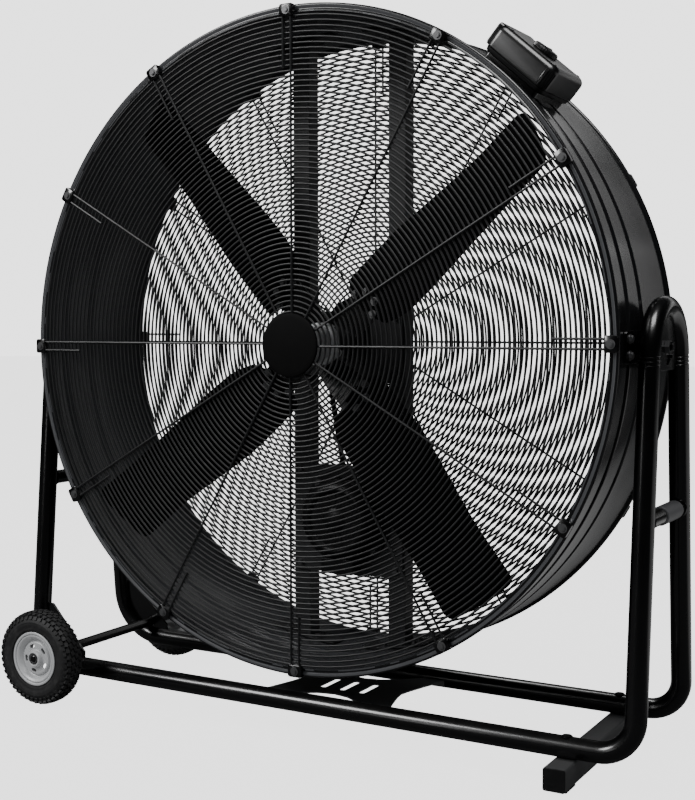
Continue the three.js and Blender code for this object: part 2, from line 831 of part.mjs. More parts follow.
function buildDrum() {
  add(drum, "drum_shell", turned(drumProfile(), drumFacets), "drumBlack");
  add(drum, "front_grille", grille(), "wireBlack");
  add(drum, "rear_grille", grille().rotateZ(Math.PI), "wireBlack");
  const discRear = drumFront - seatGap - wire - seatGap;
  const disc = turned(
    [
      [0, discRear],
      [discRadius - 2, discRear],
      [discRadius, discRear - 2],
      [discRadius, discRear - discThickness + 3],
      [discRadius - 4, discRear - discThickness],
      [0, discRear - discThickness],
      [0, discRear],
    ],
    28,
  );
  add(drum, "centre_disc", disc, "plasticBlack");
  for (const [side, name] of [[left, "left"], [right, "right"]]) {
    buildRail(side, name);
    buildDrumPivot(side, name);
  }
}

// A rail is a channel open to the rear, coped to the feet that stand on the drum's inner wall.
function buildRail(side, name) {
  const [w, d] = [railWidth / 2, railDepth];
  const middle = (side * railSpacing) / 2;
  const footOuter = drumInner - 2 * seatGap;
  const footInner = footOuter - railFootSheet;
  const shape = new THREE.Shape();
  shape.moveTo(-w, 0);
  shape.lineTo(w, 0);
  shape.lineTo(w, d);
  shape.lineTo(w - railWall, d);
  shape.lineTo(w - railWall, railWall);
  shape.lineTo(-w + railWall, railWall);
  shape.lineTo(-w + railWall, d);
  shape.lineTo(-w, d);
  const length = 2 * drumRadius;
  const channel = extruded(shape, length).translate(middle, railFront, -length / 2);
  const reach = rod(footInner - seatGap, 0, drumRear, drumFacets);
  add(drum, name + "_rail", common(channel, reach), "frameBlack");
  const footMiddle = railFront + railDepth / 2;
  const ring = collar(
    footInner,
    footOuter,
    footMiddle - railFootDepth / 2,
    footMiddle + railFootDepth / 2,
    drumFacets,
  );
  for (const [up, place] of [[1, "upper"], [-1, "lower"]]) {
    const sector = block(railFootLength, 2 * railFootDepth, drumRadius);
    sector.translate(middle, footMiddle, (up * drumRadius) / 2);
    add(drum, place + "_" + name + "_rail_foot", common(ring, sector), "frameBlack");
  }
}

// The bracket riveted to the drum's side, with the pivot pin and the lock stud that the stand's plate takes.
function buildDrumPivot(side, name) {
  const inner = drumRadius + seatGap;
  const outer = inner + pivotBracketSheet;
  const shape = roundedRectangle(pivotBracketLength, pivotBracketHeight, 8);
  const plate = platedYZ(shape, inner, outer, 3);
  const plateOuter = legX + pivotPlateThickness / 2;
  const shoulder = legX - pivotPlateThickness / 2 - seatGap;
  const alongX = (geometry) => geometry.rotateZ(-Math.PI / 2);
  const boss = alongX(rod(pinRadius + 6, outer - 1, shoulder, 20));
  const pinEnd = plateOuter + pinReach;
  const pin = alongX(rod(pinRadius, outer, pinEnd, 20));
  const studAngle = radians(lockStudAngle);
  const stud = alongX(rod(lockStudRadius, outer - 1, plateOuter + 6, 12));
  stud.translate(0, lockStudArm * Math.cos(studAngle), lockStudArm * Math.sin(studAngle));
  const bracket = joined([plate, boss, pin, stud]);
  const nut = hexNut(pivotNut, pivotNutThickness, pinRadius + 0.8);
  const turn = new THREE.Matrix4().makeBasis(vec(0, 1, 0), vec(0, 0, 1), vec(1, 0, 0));
  nut.applyMatrix4(turn).translate(plateOuter + seatGap, 0, 0);
  const mirror = new THREE.Matrix4().makeScale(side, 1, 1);
  add(drum, name + "_drum_pivot", bracket.applyMatrix4(mirror), "frameBlack");
  add(drum, name + "_pivot_nut", nut.applyMatrix4(mirror), "steel");
}

// ---------------------------------------------------------------- rotor
// The blade's edges: each place is a share of the tip's radius and an offset from the blade's axis.
const leadOffset = bladeEdge([0.19, 42], [0.456, 27], [0.591, 8], [0.777, -20], [1.014, -42]);
const trailOffset = bladeEdge([0.19, -72], [0.279, -107], [0.591, -136], [0.811, -159], [1.014, -188]);

function bladeEdge(...places) {
  const points = places.map(([share, offset]) => new THREE.Vector2(share * bladeTipRadius, offset));
  return new THREE.SplineCurve(points);
}

// An edge's offset from the blade's axis at a distance along that axis.
function edgeAt(curve, along) {
  const points = curve.getPoints(60);
  const next = points.findIndex((p) => p.x >= along);
  if (next <= 0) return points[0].y;
  const [a, b] = [points[next - 1], points[next]];
  return THREE.MathUtils.mapLinear(along, a.x, b.x, a.y, b.y);
}

// A point of the blade's middle surface, and how far behind it: the sheet twists along the blade's axis.
function bladePoint(along, across, behind, camber) {
  const pitch = radians(bladePitch + (bladeTwist * (along - bladeMid)) / bladeTwistSpan);
  const [c, s] = [Math.cos(pitch), Math.sin(pitch)];
  const lift = camber + behind;
  return vec(along, bladePlaneY + across * s + lift * c, across * c - lift * s);
}

// A sheet between two depths behind the blade's surface, from a grid of places on it.
function sheet(place, columns, rows, front, rear) {
  const points = [];
  for (const behind of [front, rear]) {
    for (const v of rows) {
      for (const u of columns) points.push(place(u, v, behind));
    }
  }
  const [n, m] = [columns.length, rows.length];
  const at = (layer, i, j) => layer * n * m + j * n + i;
  const faces = [];
  const quad = (a, b, c, d) => faces.push(a, b, c, a, c, d);
  for (let j = 0; j + 1 < m; j++) {
    for (let i = 0; i + 1 < n; i++) {
      quad(at(0, i, j), at(0, i + 1, j), at(0, i + 1, j + 1), at(0, i, j + 1));
      quad(at(1, i, j), at(1, i, j + 1), at(1, i + 1, j + 1), at(1, i + 1, j));
    }
    quad(at(0, 0, j + 1), at(1, 0, j + 1), at(1, 0, j), at(0, 0, j));
    quad(at(0, n - 1, j), at(1, n - 1, j), at(1, n - 1, j + 1), at(0, n - 1, j + 1));
  }
  for (let i = 0; i + 1 < n; i++) {
    quad(at(0, i, 0), at(1, i, 0), at(1, i + 1, 0), at(0, i + 1, 0));
    quad(at(0, i + 1, m - 1), at(1, i + 1, m - 1), at(1, i, m - 1), at(0, i, m - 1));
  }
  const geometry = new THREE.BufferGeometry();
  geometry.setAttribute("position", new THREE.Float32BufferAttribute(points.flatMap((p) => p.toArray()), 3));
  geometry.setIndex(faces);
  return clean(geometry);
}

function bladeSheetGeometry() {
  const columns = [0, 0.06, 0.14, 0.24, 0.36, 0.48, 0.6, 0.72, 0.84, 0.94, 1];
  const rows = [0, 0.07, 0.2, 0.4, 0.6, 0.8, 0.93, 1];
  const fillet = (v) => tipCorner * (1 - Math.sqrt(Math.min(1, Math.min(v, 1 - v) / 0.12)));
  const place = (u, v, behind) => {
    const nearTip = 0.97 * bladeTipRadius;
    const tipAcross = THREE.MathUtils.lerp(edgeAt(leadOffset, nearTip), edgeAt(trailOffset, nearTip), v);
    const tip = Math.sqrt(bladeTipRadius ** 2 - tipAcross ** 2) - fillet(v);
    const root = bladeRoot + 18 * (2 * v - 1) ** 2;
    const along = THREE.MathUtils.lerp(root, tip, u);
    const across = THREE.MathUtils.lerp(edgeAt(leadOffset, along), edgeAt(trailOffset, along), v);
    const fade = THREE.MathUtils.smoothstep(along, spiderReach, 2 * spiderReach);
    return bladePoint(along, across, behind, bladeCamber * fade * 4 * v * (1 - v));
  };
  return sheet(place, columns, rows, -bladeSheet / 2, bladeSheet / 2);
}

// One arm of the hub, lying against the back of a blade's root.
function spiderArm() {
  const place = (along, across, behind) => bladePoint(along, across, behind, 0);
  const rows = [spiderOffset + spiderHalfWidth, spiderOffset, spiderOffset - spiderHalfWidth];
  const front = bladeSheet / 2 + seatGap;
  return sheet(place, [24, 80, 116, spiderReach], rows, front, front + spiderSheet);
}

function aboutAxis(geometry, blade) {
  const angle = radians(bladePhase) + (blade * 2 * Math.PI) / bladeCount;
  return geometry.clone().rotateY(-angle);
}

function buildRotor() {
  const bore = rod(shaftRadius + seatGap, 2 * drumFront, 2 * drumRear);
  const boss = turned(
    [
      [0, hubFront],
      [hubRadius - 3, hubFront],
      [hubRadius, hubFront + 3],
      [hubRadius, hubSeat - 3],
      [hubRadius + 8, hubSeat],
      [hubRadius + 8, hubRear - 12],
      [hubRadius - 6, hubRear],
      [0, hubRear],
      [0, hubFront],
    ],
    28,
  );
  const arm = spiderArm();
  const blade = bladeSheetGeometry();
  const arms = [];
  for (let i = 0; i < bladeCount; i++) {
    arms.push(aboutAxis(arm, i));
    const clearBoss = rod(hubRadius + 10, 2 * drumFront, 2 * drumRear, 32);
    add(rotor, "blade_" + (i + 1), cut(aboutAxis(blade, i), clearBoss), "bladeBlack");
  }
  add(rotor, "hub_spider", cut(joined([boss, ...arms]), bore), "steel");
  add(rotor, "fan_shaft", rod(shaftRadius, shaftFront, shaftRear), "steel");
  add(rotor, "fan_pulley", pulley(fanPulleyPitch, shaftRadius + seatGap, 4), "castIron");
}

// A grooved pulley with a web; large ones have round openings in it.
function pulley(pitch, bore, openings) {
  const outer = pitch + beltHeight / 2;
  const root = pitch - beltHeight / 2 - grooveClearance;
  const lip = (pulleyWidth - beltWidth) / 2 - grooveClearance;
  const groove = [
    [outer, pulleyRear],
    [outer, pulleyRear - lip],
    [root, pulleyRear - lip],
    [root, pulleyFront + lip],
    [outer, pulleyFront + lip],
    [outer, pulleyFront],
  ];
  if (!openings) return turned([[bore, pulleyRear], ...groove, [bore, pulleyFront], [bore, pulleyRear]], 24);
  const [rim, hub] = [root - 6, bore + 13];
  const [webFront, webRear] = [beltMiddle - pulleyWeb / 2, beltMiddle + pulleyWeb / 2];
  const wheel = turned(
    [
      [bore, pulleyRear],
      [hub, pulleyRear],
      [hub, webRear],
      [rim, webRear],
      [rim, pulleyRear],
      ...groove,
      [rim, pulleyFront],
      [rim, webFront],
      [hub, webFront],
      [hub, pulleyFront],
      [bore, pulleyFront],
      [bore, pulleyRear],
    ],
    28,
  );
  const holes = [];
  const arm = (rim + hub) / 2;
  for (let i = 0; i < openings; i++) {
    const angle = (i * 2 * Math.PI) / openings;
    const hole = rod((rim - hub) / 2 - 5, pulleyFront, pulleyRear, 8);
    holes.push(hole.translate(arm * Math.cos(angle), 0, arm * Math.sin(angle)));
  }
  return cut(wheel, ...holes);
}

// ---------------------------------------------------------------- drive
function buildBearings() {
  const outline = roundedRectangle(plateWidth, bearingPlateHeight, 10);
  outline.holes.push(circlePath(shaftRadius + 8));
  add(drum, "bearing_plate", platedXZ(outline, plateFront, plateRear, 6), "frameBlack");
  const bore = rod(shaftRadius + runningGap, drumFront, drumRear);
  const housings = [
    ["front_bearing", plateFront - seatGap, -1],
    ["rear_bearing", plateRear + seatGap, 1],
  ];
  for (const [name, face, away] of housings) {
    const back = face + away * bearingFlangeThickness;
    const nose = back + away * bearingBossLength;
    const flange = platedXZ(
      roundedRectangle(bearingFlange, bearingFlange, 16),
      Math.min(face, back),
      Math.max(face, back),
      4,
    );
    const boss = rod(bearingBossRadius, Math.min(face, nose), Math.max(face, nose));
    add(drum, name, cut(joined([flange, boss]), bore), "castIron");
  }
}

function buildMotor() {
  const plateHeight = 2 * (motorRadius + motorPlateBorder);
  const outline = roundedRectangle(plateWidth, plateHeight, 10, 0, -motorDrop - motorPlateOffset);
  outline.holes.push(circlePath(motorRadius + 4, 0, -motorDrop));
  add(drum, "motor_plate", platedXZ(outline, plateFront, plateRear, 8), "frameBlack");

  const flangeRear = plateFront - seatGap;
  const casing = turned(
    [
      [0, motorFront],
      [motorRadius, motorFront],
      [motorRadius, flangeRear - motorFlange],
      [motorRadius + motorFlangeWidth, flangeRear - motorFlange],
      [motorRadius + motorFlangeWidth, flangeRear],
      [motorRadius, flangeRear],
      [motorRadius, motorRear - 20],
      [motorRadius - 8, motorRear - 8],
      [30, motorRear],
      [0, motorRear],
      [0, motorFront],
    ],
    28,
  );
  const shaftStart = motorRear - 16;
  const bore = rod(motorShaftRadius + runningGap, shaftStart - runningGap, 2 * motorRear, 16);
  add(motor, "motor_casing", cut(casing, bore), "motorGrey");

  const bellRear = motorFront - seatGap;
  const bellFront = bellRear - bellLength;
  const bellFace = motorRadius - bellShoulder;
  const bell = turned(
    [
      [0, bellRear],
      [motorRadius, bellRear],
      [motorRadius - 3, bellFront + 5],
      [bellFace + 4, bellFront],
      [bellFace - 4, bellFront],
      [bellFace - 8, bellFront + 4],
      [24, bellFront + 4],
      [20, bellFront + 1],
      [0, bellFront + 1],
      [0, bellRear],
    ],
    28,
  );
  add(motor, "motor_end_bell", bell, "motorGrey");

  const size = terminalBoxSize;
  const boxTop = -motorRadius - seatGap;
  const box = roundedRectangle(size.x, size.z, 5, 0, boxTop - size.z / 2);
  add(motor, "terminal_box", platedXZ(box, 0, size.y, 2), "motorGrey");

  add(motor, "motor_shaft", rod(motorShaftRadius, shaftStart, pulleyRear + 6, 16), "steel");
  add(motor, "motor_pulley", pulley(motorPulleyPitch, motorShaftRadius + seatGap, 0), "castIron");
}

// The belt's outline round both pulleys, at a distance inside or outside its pitch line.
function beltOutline(Kind, offset) {
  const [big, small] = [fanPulleyPitch + offset, motorPulleyPitch + offset];
  const slope = Math.asin((fanPulleyPitch - motorPulleyPitch) / motorDrop);
  const path = new Kind();
  path.absarc(0, 0, big, -slope, Math.PI + slope, false);
  path.absarc(0, -motorDrop, small, Math.PI + slope, 2 * Math.PI - slope, false);
  path.closePath();
  return path;
}

function buildBelt() {
  const shape = beltOutline(THREE.Shape, beltHeight / 2);
  shape.holes.push(beltOutline(THREE.Path, -beltHeight / 2));
  const belt = platedXZ(shape, beltMiddle - beltWidth / 2, beltMiddle + beltWidth / 2, 10);
  add(drum, "drive_belt", belt, "rubber");
}

// ---------------------------------------------------------------- switch box
// Made standing on the drum's top and swung round its axis: here x is along the drum and z away from it.
function buildSwitch() {
  const boxBase = drumRadius + switchStandOff;
  const middleY = switchFront + switchDepth / 2;
  const lidBase = boxBase + switchHeight + seatGap;
  const lidTop = lidBase + switchLid;

  const outline = (inset) => {
    const corner = Math.max(2, switchCorner - inset);
    return roundedRectangle(switchLength - 2 * inset, switchDepth - 2 * inset, corner, 0, middleY);
  };
  const slab = (shape, low, high) => extruded(shape, high - low, 4).translate(0, 0, low);
  const drumClear = rod(drumRadius + seatGap, 2 * drumFront, 2 * drumRear, drumFacets);
  drumClear.rotateY(-radians(switchAngle));
  const saddle = slab(outline(9), boxBase - 3 * switchStandOff, boxBase - seatGap);
  add(switchGroup, "switch_bracket", cut(saddle, drumClear), "frameBlack");
  add(switchGroup, "switch_box", slab(outline(1.5), boxBase, boxBase + switchHeight), "plasticBlack");
  add(switchGroup, "switch_lid", switchCover(outline, lidBase, lidTop, middleY), "plasticBlack");

  const knob = new THREE.LatheGeometry(
    [
      [0, -20],
      [knobStem, -20],
      [knobStem, 0.4],
      [knobRadius, 0.4],
      [knobRadius - 1, knobHeight - 2],
      [knobRadius - 3, knobHeight],
      [0, knobHeight],
    ].map(([r, y]) => new THREE.Vector2(r, y)),
    24,
  ).rotateX(Math.PI / 2);
  const pointer = block(3, knobRadius - 4, 2, 0, knobRadius / 2, knobHeight + 0.6);
  const turnedKnob = joined([knob, pointer]).translate(0, middleY, lidTop);
  add(switchGroup, "switch_knob", turnedKnob, "plasticBlack");

  const glandY = switchFront + switchDepth + seatGap;
  const gland = turned(
    [
      [3.5, glandY],
      [glandRadius + 3, glandY],
      [glandRadius + 3, glandY + 6],
      [glandRadius, glandY + 6],
      [glandRadius - 3, glandY + glandLength],
      [3.5, glandY + glandLength],
      [3.5, glandY],
    ],
    16,
  );
  add(switchGroup, "cable_gland", gland.translate(0, 0, lidBase + switchLid / 2), "plasticBlack");
}

// The hollow cover of the switch's box, rounded along its outer edge, with one squared end.
function switchCover(outline, low, high, middleY) {
  const dome = new THREE.ExtrudeGeometry(outline(switchEdge), {
    depth: high - low,
    curveSegments: 4,
    bevelSegments: 3,
    bevelThickness: switchEdge,
    bevelSize: switchEdge,
  }).translate(0, 0, low - switchEdge);
  const span = 2 * switchLength;
  const below = block(span, 2 * switchDepth, span, 0, middleY, low - span / 2);
  const hollow = extruded(outline(switchWall), high - low - switchWall + 10, 4).translate(0, 0, low - 10);
  const room = common(hollow, block(span, span, span, 0, middleY, high - switchWall - span / 2));
  const face = roundedRectangle(switchDepth - 8, high - low, 6, middleY, (low + high) / 2);
  const end = -switchLength / 2;
  const cheek = platedYZ(face, end, end + switchCheek, 3);
  const stem = rod(knobStem + 1.5, 0, switchLid, 16).rotateX(Math.PI / 2).translate(0, middleY, high - 30);
  return cut(joined([dome, cheek]), below, room, stem);
}

buildStand();
buildDrum();
buildRotor();
buildBearings();
buildMotor();
buildBelt();
buildSwitch();

export default fan;
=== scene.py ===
import bpy
import bmesh
from math import asin, atan2, cos, degrees, exp, hypot, pi, radians, sin, sqrt, tan
from itertools import product
from mathutils import Matrix, Vector


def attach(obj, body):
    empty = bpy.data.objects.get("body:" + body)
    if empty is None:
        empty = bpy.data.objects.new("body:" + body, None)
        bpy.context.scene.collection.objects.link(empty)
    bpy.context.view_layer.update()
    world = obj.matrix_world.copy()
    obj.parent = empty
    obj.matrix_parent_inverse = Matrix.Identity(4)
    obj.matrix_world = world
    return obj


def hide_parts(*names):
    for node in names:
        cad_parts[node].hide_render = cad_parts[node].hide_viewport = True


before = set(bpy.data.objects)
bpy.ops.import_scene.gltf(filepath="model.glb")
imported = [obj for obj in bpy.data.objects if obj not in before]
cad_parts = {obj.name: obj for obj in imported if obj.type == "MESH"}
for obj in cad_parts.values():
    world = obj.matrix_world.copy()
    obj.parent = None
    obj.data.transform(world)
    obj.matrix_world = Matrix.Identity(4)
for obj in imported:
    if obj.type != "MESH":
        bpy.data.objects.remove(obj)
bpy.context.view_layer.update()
mm = 0.001
axisZ = 750.0  # height of the drum's axis; all sizes are millimetres unless said otherwise
drumAxis = (0, 0, axisZ)
print("frame loaded:", len(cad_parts), "nodes")

view = {  # the camera, the floor and the sky, in metres
    "place": (1.296, -2.2416, 0.7959),
    "forward": (-0.4921, 0.8684, -0.0609),
    "roll": -0.09,  # degrees
    "lens": 67.48,
    "backdrop": 2.6,  # brightness of the sky as the camera sees it
    "floorDim": 0.3,  # the lit floor glows that much less
    "floorColour": (0.06, 0.06, 0.0605, 1),
    "floorLightPatch": 0.5,  # painted patch of light: glow of the floor right behind the drum, seen in the drum's underside only
    "sheenFrom": (0.25, 0.45),  # where it sets in along Y
    "sheenTo": (0.1, 0.34),  # and fades along Y less the slant times X
    "sheenSlant": 1.6,
    "fill": 0.015,  # strength of the sky in reflections
    "ambient": 0.6,  # further strength of sky and floor as seen by diffuse rays
}
lights = {  # place, point aimed at, size, power and turn in degrees
    "keyLight": ((-2.6, -3.4, 3.4), (0, 0, 0.8), (1.6, 1.6), 180, 0),
    "frontStrip": ((-1.6, -4.0, 1.45), (0.5, 0, 0.85), (0.35, 1.6), 7, 0),
    "edgeLight": ((1.1, -0.8, 3.3), (0.4, 0, 1.2), (1.3, 1.3), 60, 0),
    "baseLight": ((-1.5, 1.2, 3.4), (0, 0, 0.2), (2.2, 0.6), 40, 0),
    "upperPanel": ((-0.07, 3.6, 2.94), (0.3, 0, 0.9), (1.9, 0.7), 3.2, 8),
    "slantPanel": ((1.45, 3.6, 2.3), (0.4, 0, 0.9), (1.3, 0.7), 1.9, 45),
    "sidePanel": ((2.0, 3.6, 1.45), (0.4, 0, 0.9), (0.95, 0.7), 1.8, 74),
}


def inScene(name, data):
    holder = bpy.data.objects.new(name, data)
    bpy.context.scene.collection.objects.link(holder)
    return holder


def makeCamera():
    cam = bpy.data.cameras.new("camera")
    cam.sensor_fit = "HORIZONTAL"
    cam.sensor_width = 36.0
    cam.lens = view["lens"]
    cam.clip_end = 60.0
    holder = inScene("camera", cam)
    turn = Vector(view["forward"]).normalized().to_track_quat("-Z", "Y")
    spin = Matrix.Rotation(radians(view["roll"]), 4, "Z")
    holder.matrix_world = Matrix.Translation(view["place"]) @ turn.to_matrix().to_4x4() @ spin
    bpy.context.scene.camera = holder


def areaLight(name, place, target, size, power, turn):
    lamp = bpy.data.lights.new(name, "AREA")
    lamp.shape = "RECTANGLE"
    lamp.size, lamp.size_y = size
    lamp.energy = power
    aim = (Vector(place) - Vector(target)).to_track_quat("Z", "Y").to_matrix().to_4x4()
    spin = Matrix.Rotation(radians(turn), 4, "Z")
    inScene(name, lamp).matrix_world = Matrix.Translation(place) @ aim @ spin


# Node trees: a value given to a socket is a node, one of its outputs, a list of nodes or a plain value.
def give(tree, socket, value):
    for item in value if isinstance(value, list) else (value,):
        if isinstance(item, bpy.types.Node):
            item = item.outputs[0]
        if isinstance(item, bpy.types.NodeSocket):
            tree.links.new(item, socket)
        else:
            socket.default_value = item


def add(tree, kind, sockets, **settings):
    node = tree.nodes.new(kind)
    for label, value in settings.items():
        setattr(node, label, value)
    for label, value in sockets.items():
        give(tree, node.inputs[label], value)
    return node


def newTree(name, kind, inputs, outputs):  # a word stands for a socket's type, anything else is its value
    tree = bpy.data.node_groups.new(name, kind)
    kinds = {float: "Float", int: "Int", tuple: "Color"}
    for way, table in (("INPUT", inputs), ("OUTPUT", outputs)):
        for label, value in table.items():
            word = value if isinstance(value, str) else kinds[type(value)]
            socket = tree.interface.new_socket(name=label, in_out=way, socket_type="NodeSocket" + word)
            if word != value:
                socket.default_value = value
    return tree, tree.nodes.new("NodeGroupInput").outputs, tree.nodes.new("NodeGroupOutput").inputs


def mathNode(tree, operation, *values):
    return add(tree, "ShaderNodeMath", dict(enumerate(values)), operation=operation)


def times(tree, a, b):
    return mathNode(tree, "MULTIPLY", a, b)


def noise(tree, coords, scale, detail, roughness=0.55):
    values = {"Scale": scale, "Detail": detail, "Roughness": roughness, "Vector": coords}
    return add(tree, "ShaderNodeTexNoise", values)


def remap(tree, value, low, high, toLow=0.0, toHigh=1.0):
    values = {"Value": value, "From Min": low, "From Max": high, "To Min": toLow, "To Max": toHigh}
    return add(tree, "ShaderNodeMapRange", values)


def mixColour(tree, share, a, b):
    a, b = ((*value, 1) if isinstance(value, tuple) else value for value in (a, b))
    return add(tree, "ShaderNodeMix", {0: share, 6: a, 7: b}, data_type="RGBA").outputs[2]


def newMaterial(name):
    material = bpy.data.materials.new(name)
    material.use_nodes = True
    return material, material.node_tree, material.node_tree.nodes["Principled BSDF"].inputs


def makeFloor():  # pale paper that glows like the sky behind it towards the camera; to other rays it glows evenly for diffuse light and in a painted patch of light behind the drum
    bpy.ops.mesh.primitive_plane_add(size=40, location=(0, 0, -0.0005))
    floor = bpy.context.object
    floor.name = "floor"
    material, tree, shader = newMaterial("floorPaper")
    rays = tree.nodes.new("ShaderNodeLightPath").outputs
    place = tree.nodes.new("ShaderNodeNewGeometry").outputs["Position"]
    split = add(tree, "ShaderNodeSeparateXYZ", {0: place}).outputs
    # painted light: a glowing patch on the floor right behind the drum, which only reflected and diffuse rays
    # see
    slant = mathNode(tree, "MULTIPLY_ADD", split["X"], -view["sheenSlant"], split["Y"])
    near = remap(tree, split["Y"], *view["sheenFrom"])
    far = remap(tree, slant, *view["sheenTo"], 1.0, 0.0)
    bounce = times(tree, rays["Is Diffuse Ray"], view["ambient"])
    sheen = mathNode(tree, "MULTIPLY_ADD", times(tree, near, far), view["floorLightPatch"], bounce)
    seen = view["backdrop"] - view["floorDim"]
    glow = add(tree, "ShaderNodeMix", {0: rays["Is Camera Ray"], 2: sheen, 3: seen})
    for label, value in {"Base Color": view["floorColour"], "Roughness": 0.9, "Specular IOR Level": 0.1,
                         "Emission Color": (1, 1, 1, 1), "Emission Strength": glow}.items():
        give(tree, shader[label], value)
    floor.data.materials.append(material)


def makeStudio():
    world = bpy.data.worlds.new("studio")
    bpy.context.scene.world = world
    world.use_nodes = True
    tree = world.node_tree
    tree.nodes.clear()
    rays = tree.nodes.new("ShaderNodeLightPath").outputs
    soft = mathNode(tree, "MULTIPLY_ADD", rays["Is Diffuse Ray"], view["ambient"], view["fill"])
    lit = add(tree, "ShaderNodeBackground", {"Color": (0.94, 0.97, 1.0, 1), "Strength": soft})
    seen = add(tree, "ShaderNodeBackground", {"Color": (1, 1, 1, 1), "Strength": view["backdrop"]})
    mix = add(tree, "ShaderNodeMixShader", {0: rays["Is Camera Ray"], 1: lit, 2: seen})
    add(tree, "ShaderNodeOutputWorld", {"Surface": mix})
    makeFloor()
    for name, values in lights.items():
        areaLight(name, *values)


# Shader groups, shared by several materials.
def newGroup(name, inputs):
    values = {"Colour": (0.02, 0.02, 0.02, 1), **inputs}
    results = {"Colour": "Color", "Roughness": "Float", "Height": "Float"}
    group, given, out = newTree(name, "ShaderNodeTree", values, results)
    return group, given, out, group.nodes.new("ShaderNodeTexCoord").outputs["Object"]


def endGroup(group, out, colour, roughness, height):
    for label, value in (("Colour", colour), ("Roughness", roughness), ("Height", height)):
        give(group, out[label], value)
    return group


def makeCoatGroup():  # powder coat: orange peel, cloudy gloss, settled dust and faint rubbed marks
    group, given, out, coords = newGroup(
        "powderCoat", {"Gloss Roughness": 0.35, "Peel Scale": 420.0, "Dust": 0.12, "Rub": 0.2})
    peel = noise(group, coords, given["Peel Scale"], 2.0)
    cloud = noise(group, coords, 9.0, 4.0, 0.6)
    speck = noise(group, coords, 150.0, 5.0, 0.7)
    normal = group.nodes.new("ShaderNodeNewGeometry").outputs["Normal"]
    upward = remap(group, add(group, "ShaderNodeSeparateXYZ", {0: normal}).outputs["Z"], 0.55, 1.0)
    dust = times(group, times(group, upward, cloud), given["Dust"])
    rub = times(group, remap(group, speck, 0.66, 0.78), given["Rub"])
    tinted = mixColour(group, dust, given["Colour"], (0.32, 0.31, 0.29))
    shift = remap(group, cloud, 0.3, 0.7, -0.035, 0.05)
    rough = mathNode(group, "ADD", given["Gloss Roughness"], shift)
    rubbed = mathNode(group, "MULTIPLY_ADD", rub, 0.25, rough)
    return endGroup(group, out, tinted, mathNode(group, "MULTIPLY_ADD", dust, 0.8, rubbed), peel)


def makeGrainGroup():  # moulded grain for plastics and rubber
    group, given, out, coords = newGroup(
        "mouldedGrain", {"Base Roughness": 0.5, "Grain Scale": 900.0, "Scuff": 0.15})
    sockets = {"Vector": coords, "Scale": given["Grain Scale"]}
    grain = add(group, "ShaderNodeTexVoronoi", sockets, feature="SMOOTH_F1")
    worn = times(group, remap(group, noise(group, coords, 60.0, 6.0, 0.75), 0.5, 0.8), given["Scuff"])
    tinted = mixColour(group, worn, given["Colour"], (0.2, 0.195, 0.185))
    rough = mathNode(group, "MULTIPLY_ADD", worn, 0.6, given["Base Roughness"])
    return endGroup(group, out, tinted, rough, grain)


def makeMetalGroup():  # bare or plated metal: fine turning lines, mottled plating
    group, given, out, coords = newGroup(
        "bareMetal", {"Base Roughness": 0.3, "Mottle": 0.3, "Line Scale": 1400.0})
    stretch = add(group, "ShaderNodeMapping", {"Scale": (0.08, 1.0, 0.08), "Vector": coords})
    lines = noise(group, stretch, given["Line Scale"], 2.0)
    patches = remap(group, noise(group, coords, 120.0, 5.0, 0.7), 0.35, 0.7)
    amount = times(group, patches, given["Mottle"])
    tinted = mixColour(group, amount, given["Colour"], (0.12, 0.115, 0.11))
    rough = mathNode(group, "MULTIPLY_ADD", amount, 0.4, given["Base Roughness"])
    return endGroup(group, out, tinted, rough, lines)


